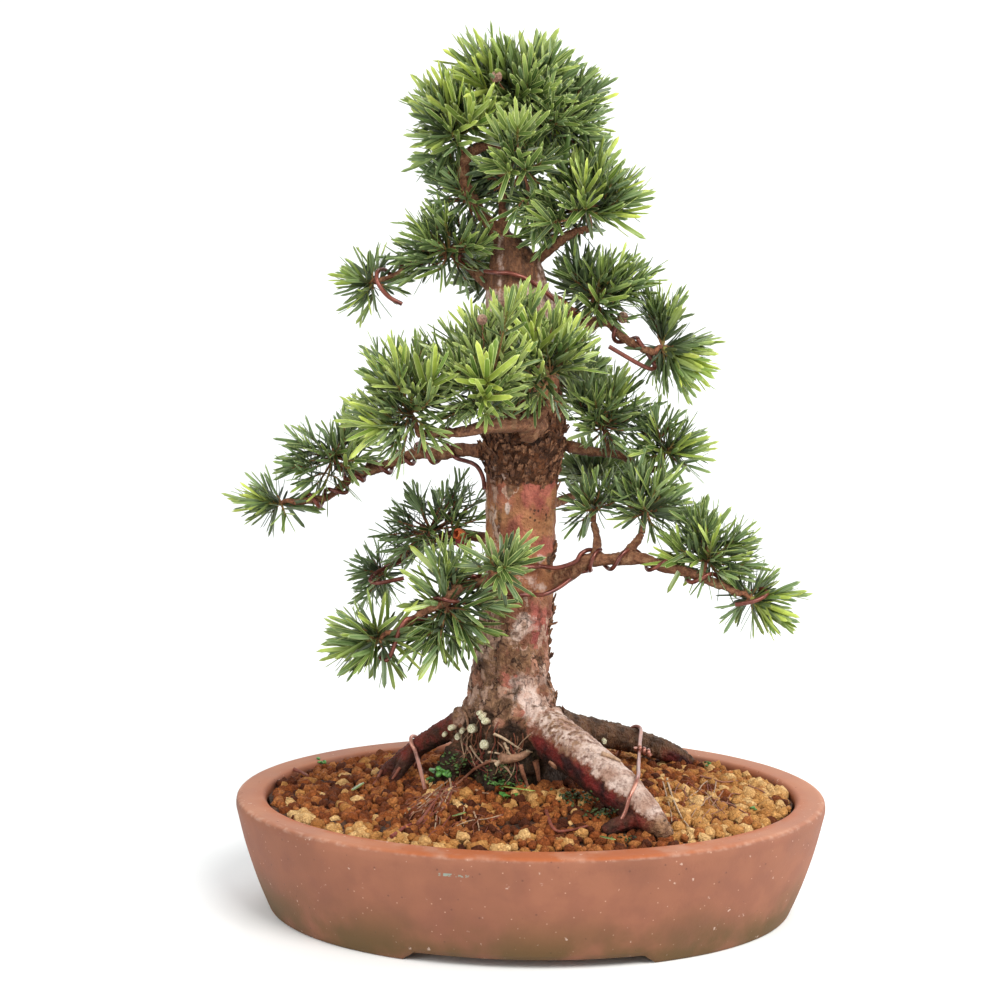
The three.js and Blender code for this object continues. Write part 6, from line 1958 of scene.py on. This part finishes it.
    "right_low_middle": ((84, -22, 174), (86, -20, 190), (24, 20, 20), (5, 0.3, 0.88, 0.12, 0.1, 0.9), [
        (691, 522, -14, 0.3), (714, 527, -16, 0.6), (711, 546, -25, 0.65), (700, 545, -18, 0.4),
        (725, 541, -14, 0.6), (735, 551, -12, 0.5), (681, 540, -10, 0.2), (671, 560, -21, 0.7),
        (745, 565, -18, 0.4), (719, 572, -24, 0.3), (700, 560, -22, 0.3), (739, 578, -20, 0.3),
        (728, 560, -22, 0.4), (690, 536, -6, 0.2),
    ]),
    "right_low_tip": ((101, -25, 167), (111, -26, 164), (17, 17, 17), (3, 0.5, 0.9, -0.05, 0.05, 0.8), [
        (770, 597, -28, 1.0), (768, 606, -30, 1.0), (762, 613, -28, 0.9), (752, 612, -24, 0.4),
        (745, 603, -22, 0.25), (756, 589, -18, 0.4), (740, 592, -24, 0.2),
    ]),
    "left_low_back": ((-53, 38, 181), (-51, 34, 197), (31, 22, 21), (5, 0.1, 0.78, 0.1, 0.1, 1), [
        (398, 521, 30, 0.15), (386, 535, 34, 0.15), (420, 506, 30, 0.1), (430, 530, 24, 0.1),
        (445, 496, 28, 0.1), (464, 491, 22, 0.1), (455, 514, 20, 0.15), (440, 518, 26, 0.1),
        (411, 539, 30, 0.12), (478, 500, 20, 0.1), (462, 540, 12, 0.2), (400, 550, 34, 0.1),
        (424, 548, 24, 0.12), (476, 520, 14, 0.15), (444, 546, 14, 0.15),
    ]),
    "left_low_back_tip": ((-73, 45, 168), (-80, 44, 163), (22, 20, 21), (4, 0.1, 0.78, 0, 0.1, 1), [
        (363, 570, 44, 0.15), (367, 590, 44, 0.15), (384, 575, 40, 0.1), (366, 598, 42, 0.15),
        (380, 562, 46, 0.1), (389, 592, 38, 0.1), (372, 580, 48, 0.1),
    ]),
    "left_low_front": ((-44, -38, 163), (-42, -36, 152), (24, 21, 28), (4, 0.2, 1.08, -0.1, 0.1, 0.4), [
        (433, 603, -42, 0.5), (438, 632, -44, 0.3), (437, 652, -47, 0.25), (454, 640, -36, 0.2),
        (421, 640, -42, 0.3), (464, 625, -30, 0.2), (436, 566, -30, 0.7), (462, 574, -26, 0.2),
        (474, 602, -28, 0.15), (446, 586, -32, 0.3), (430, 588, -34, 0.4), (452, 614, -36, 0.2),
    ]),
    "left_low_front_tip": ((-67, -47, 150), (-80, -46, 145), (23, 20, 20), (4, 0.5, 1.08, 0, 0, 0.3), [
        (377, 631, -49, 0.65), (360, 641, -46, 0.7), (371, 651, -51, 0.6), (390, 634, -44, 0.55),
        (365, 656, -44, 0.4), (394, 641, -46, 0.5), (389, 661, -44, 0.3), (352, 650, -48, 0.65),
        (374, 640, -40, 0.4),
    ]),
    "front_rosette": ((-21.5, -43, 177), (-13, -54, 184), (20, 17, 20), (0, 0.2, 1.15, 0.05, 0.35, 0), [
        (505, 567, -62, 0.28), (490, 558, -52, 0.2), (515, 550, -50, 0.2), (513, 562, -55, 0.22),
        (494, 546, -46, 0.15), (478, 566, -40, 0.2), (498, 575, -54, 0.2), (507, 580, -50, 0.1),
    ]),
    "back_high": ((-19, 45, 306), (-22, 56, 318), (25, 22, 21), (28, 0.4, 0.92, 0.18, 0.1, 0), []),
    "back_middle": ((12, 54, 251), (16, 62, 264), (29, 22, 21), (31, 0.4, 0.92, 0.18, 0.1, 0), []),
    "back_low": ((25, 53, 205), (33, 62, 216), (27, 21, 19), (28, 0.35, 0.9, 0.15, 0.1, 0), []),
}


shootSettings = {
    "tipInset": 12, "leafyLength": 11.5, "steps": 6, "stemShare": 0.62, "twinReach": 7.5,
    "shootRadius": 0.75, "tipRadius": 0.4, "sideFrom": 18, "sideShare": 0.45, "sideLength": 11,
    "stemRadii": (1.6, 1.4, 1.1), "firstSeed": 500,
    # no needle-bearing tip stands between the viewer and the dried fruit
    "fruitAt": (462, 530), "fruitClear": 39, "fruitDepth": 12,
    # pads whose needles lie along longer shoots, as shares of the usual tilt
    "fans": {
        "upper_right_tip": 0.55, "right_low_tip": 0.65, "upper_left_tip": 0.8, "left_middle_tip": 0.85,
    },
    # the bare twigs that carry the buds, by pad
    "budTwigs": {
        "crown_top": [(-20, -19, 416)], "upper_right": [(43, -4, 300)],
        "pad_middle": [(-14, -58, 311), (-25, -62, 303)],
    },
}


class SprayLines:
    # the shoots of one pad as lines of points with their painted numbers
    def __init__(self, size, grey, slim):
        self.size, self.grey, self.slim = size, grey, slim
        self.points, self.edges = [], []
        names = ("tilt", "size", "leafy", "youth", "twigRadius", "grey", "inner")
        self.marks = {name: [] for name in names}

    def add(self, line, leafyFrom, youth, thick, thin):
        for i, point in enumerate(line):
            share = i / (len(line) - 1)
            leaf = min(1, max(0, (share - leafyFrom) / (1 - leafyFrom + 1e-9)))
            tilt = mix(needleSettings["baseTilt"], needleSettings["tipTilt"], leaf ** 1.2)
            size = mix(0.8, 1.05, min(1, leaf * 2.5)) * mix(1, 0.85, max(0, leaf - 0.75) * 4)
            size *= 1 + (0.15 + 0.75 * self.grey) * (youth - 0.7)
            # inner, the last number, marks needles low on the shoot, darkened partly as older needles and
            # partly as painted shade
            values = (
                math.radians(tilt) * self.slim, size * self.size, float(share > leafyFrom),
                youth * mix(0.75 * youth, 1, leaf ** 1.2), mix(thick, thin, share) * mm,
                self.grey * (1 - youth), 1 - min(1, 1.6 * leaf),
            )
            for name, value in zip(self.marks, values):
                self.marks[name].append(value)
            if i:
                self.edges.append((len(self.points) - 1, len(self.points)))
            self.points.append(np.array(point) * mm)


def arc(start, middle, end, steps):
    shares = np.linspace(0, 1, steps + 1)
    return [mix(mix(start, middle, s), mix(middle, end, s), s) for s in shares]


def seenTips(seen, twinShare, rng, settings):
    # the shoots that show, and beside most of them a smaller, older twin
    tips = []
    for across, down, depth, youth in seen:
        place, aside = seenAt(across, down, depth), rng.normal(0, 1, 3)
        hides = math.dist(settings["fruitAt"], (across, down)) < settings["fruitClear"]
        twin = rng.random() < twinShare and not hides
        aside[1] = abs(aside[1]) * 0.8
        if hides and depth < settings["fruitDepth"]:
            continue
        tips.append((place, youth))
        if twin:
            reach = settings["twinReach"] * rng.uniform(0.8, 1.3)
            tips.append((place + unit(aside) * reach, youth * 0.5))
    return tips


def tipDirection(index, count, turn):
    height = 1 - 1.62 * (index + 0.5) / count
    around, angle = math.sqrt(1 - height * height), goldenAngle * index + turn
    return np.array((around * math.cos(angle), around * math.sin(angle), height))


def growPad(name, spec, seed, settings):
    begin, centre, half, (behind, fresh, size, rise, grey, twinShare), seen = spec
    begin, centre, half = (np.array(values, float) for values in (begin, centre, half))
    rng, slim = np.random.default_rng(seed), settings["fans"].get(name, 1)
    thick, thin = settings["shootRadius"], settings["tipRadius"]
    tips = seenTips(seen, twinShare, rng, settings)
    turn = rng.uniform(0, fullTurn)
    for index in range(behind):
        toward = tipDirection(index, behind, turn + rng.normal(0, 0.15))
        if seen:
            toward[1] = abs(toward[1])
        place = centre + toward * (half - settings["tipInset"]) * rng.uniform(0.8, 1.06)
        tips.append((place, fresh * rng.uniform(0.4, 1.3) * mix(0.6, 1.1, (toward[2] + 1) / 2)))
    lines = SprayLines(size, grey, slim)
    hub = mix(begin, np.mean([place for place, _ in tips], axis=0), settings["stemShare"])
    radii, lines.hub = settings["stemRadii"], hub * mm
    spots = (begin, mix(begin, hub, 0.5) + (0, 0, 1.2), hub)
    stem = Limb([(*spot, radius) for spot, radius in zip(spots, radii)])
    bare = 1.0 - 1e-6
    lines.add([stem.at(s) for s in np.linspace(0, 1, 7)], bare, 0, radii[0], radii[-1])
    lines.marks["leafy"][-1] = 0.0
    for place, youth in tips:
        shares = np.linspace(0.12, 1, 8)
        reach = [np.linalg.norm(place - stem.at(s)) + 9 * (1 - s) for s in shares]
        start = stem.at(shares[int(np.argmin(reach))])
        forward, length = unit(place - start), max(np.linalg.norm(place - start), 8)
        tip = start + forward * length
        middle = mix(start, tip, 0.5) - (0, 0, rise * length) + rng.normal(0, 0.05 * length, 3)
        line = arc(start, middle, tip, settings["steps"])
        leafyFrom = max(0.1, 1 - settings["leafyLength"] * size / slim / length)
        lines.add(line, leafyFrom, min(youth, 1), thick, thin)
        if length > settings["sideFrom"]:
            base = line[int(len(line) * settings["sideShare"])]
            sideways = unit(np.cross(forward, rng.normal(0, 1, 3)))
            sideways[2] = abs(sideways[2]) * 0.6
            reach = settings["sideLength"] * rng.uniform(0.7, 1.05)
            bend = base + unit(sideways + forward * 0.3) * reach * 0.4
            end = base + unit(forward * 0.8 + sideways) * reach
            lines.add(arc(base, bend, end, 4), 0.2, 0.6 * min(youth, 1), thin + 0.15, thin)
    for bud in settings["budTwigs"].get(name, []):
        start = stem.at(0.6)
        middle = mix(start, bud, 0.5) - (0, 0, 2)
        lines.add(arc(start, middle, np.array(bud, float), 8), bare, 0, thick, thin)
    return lines


# fallen needles as two spots of the view and freshness
fallen = [
    (503, 792, 536, 797, 0.45), (352, 796, 364, 788, 0.1), (600, 842, 616, 846, 0.0),
    (452, 822, 466, 818, 0.05),
]


def layNeedles(needle, finish):
    flat, mesh = pointsOf(needle) / mm, needle.data
    shapes, youths = [], []
    for *spots, youth in fallen:
        start, end = (landAt(*spot) + (0, 0, 3) for spot in (spots[:2], spots[2:]))
        along = unit(end - start)
        side = unit(np.cross((0, 0, 1), along))
        up, long = np.cross(along, side), np.linalg.norm(end - start) / needleSettings["length"]
        points = [start + up * x + side * y + along * z * long for x, y, z in flat]
        shapes.append((points, [tuple(face.vertices) for face in mesh.polygons]))
        youths += [youth] * len(flat)
    points, faces = joinShapes(shapes)
    piece = meshObject("fallenNeedles", np.array(points) * mm, faces, materials=[finish])
    paint(piece, youth=youths, tone=np.full(len(points), 0.7))
    coordinates = [loop.uv[:] for loop in mesh.uv_layers[0].data] * len(fallen)
    layer = piece.data.uv_layers.new(name="UVMap")
    layer.data.foreach_set("uv", np.array(coordinates, np.float32).ravel())
    settle(piece, "needles")


def makeSprays():
    shapes = shapeBox("needleShapes", [
        needleShape(f"needle{number}", bend, twist, needleSettings)
        for number, (bend, twist) in enumerate(needleSettings["shapes"])
    ])
    tree, total = sprayTree(), 0
    needleFinish, twigFinish = needleMaterial(needleTones), twigMaterial()
    for number, (name, spec) in enumerate(pads.items()):
        lines = growPad(name, spec, shootSettings["firstSeed"] + number, shootSettings)
        piece = meshObject(f"needles_{name}", lines.points, edges=lines.edges)
        paint(piece, **lines.marks)
        tree.run(
            piece, Shapes=shapes, Spacing=needleSettings["spacing"] * mm, Lift=needleSettings["lift"],
            Seed=number, Hub=[float(v) for v in lines.hub], Needles=needleFinish, Twigs=twigFinish,
        )
        total += len(piece.data.polygons)
        settle(piece, "needles", f"spray_{name}")
    layNeedles(shapes.objects[0], needleFinish)
    dropShapes(shapes)
    print("needle faces:", total)


makeSprays()
print("needles made")
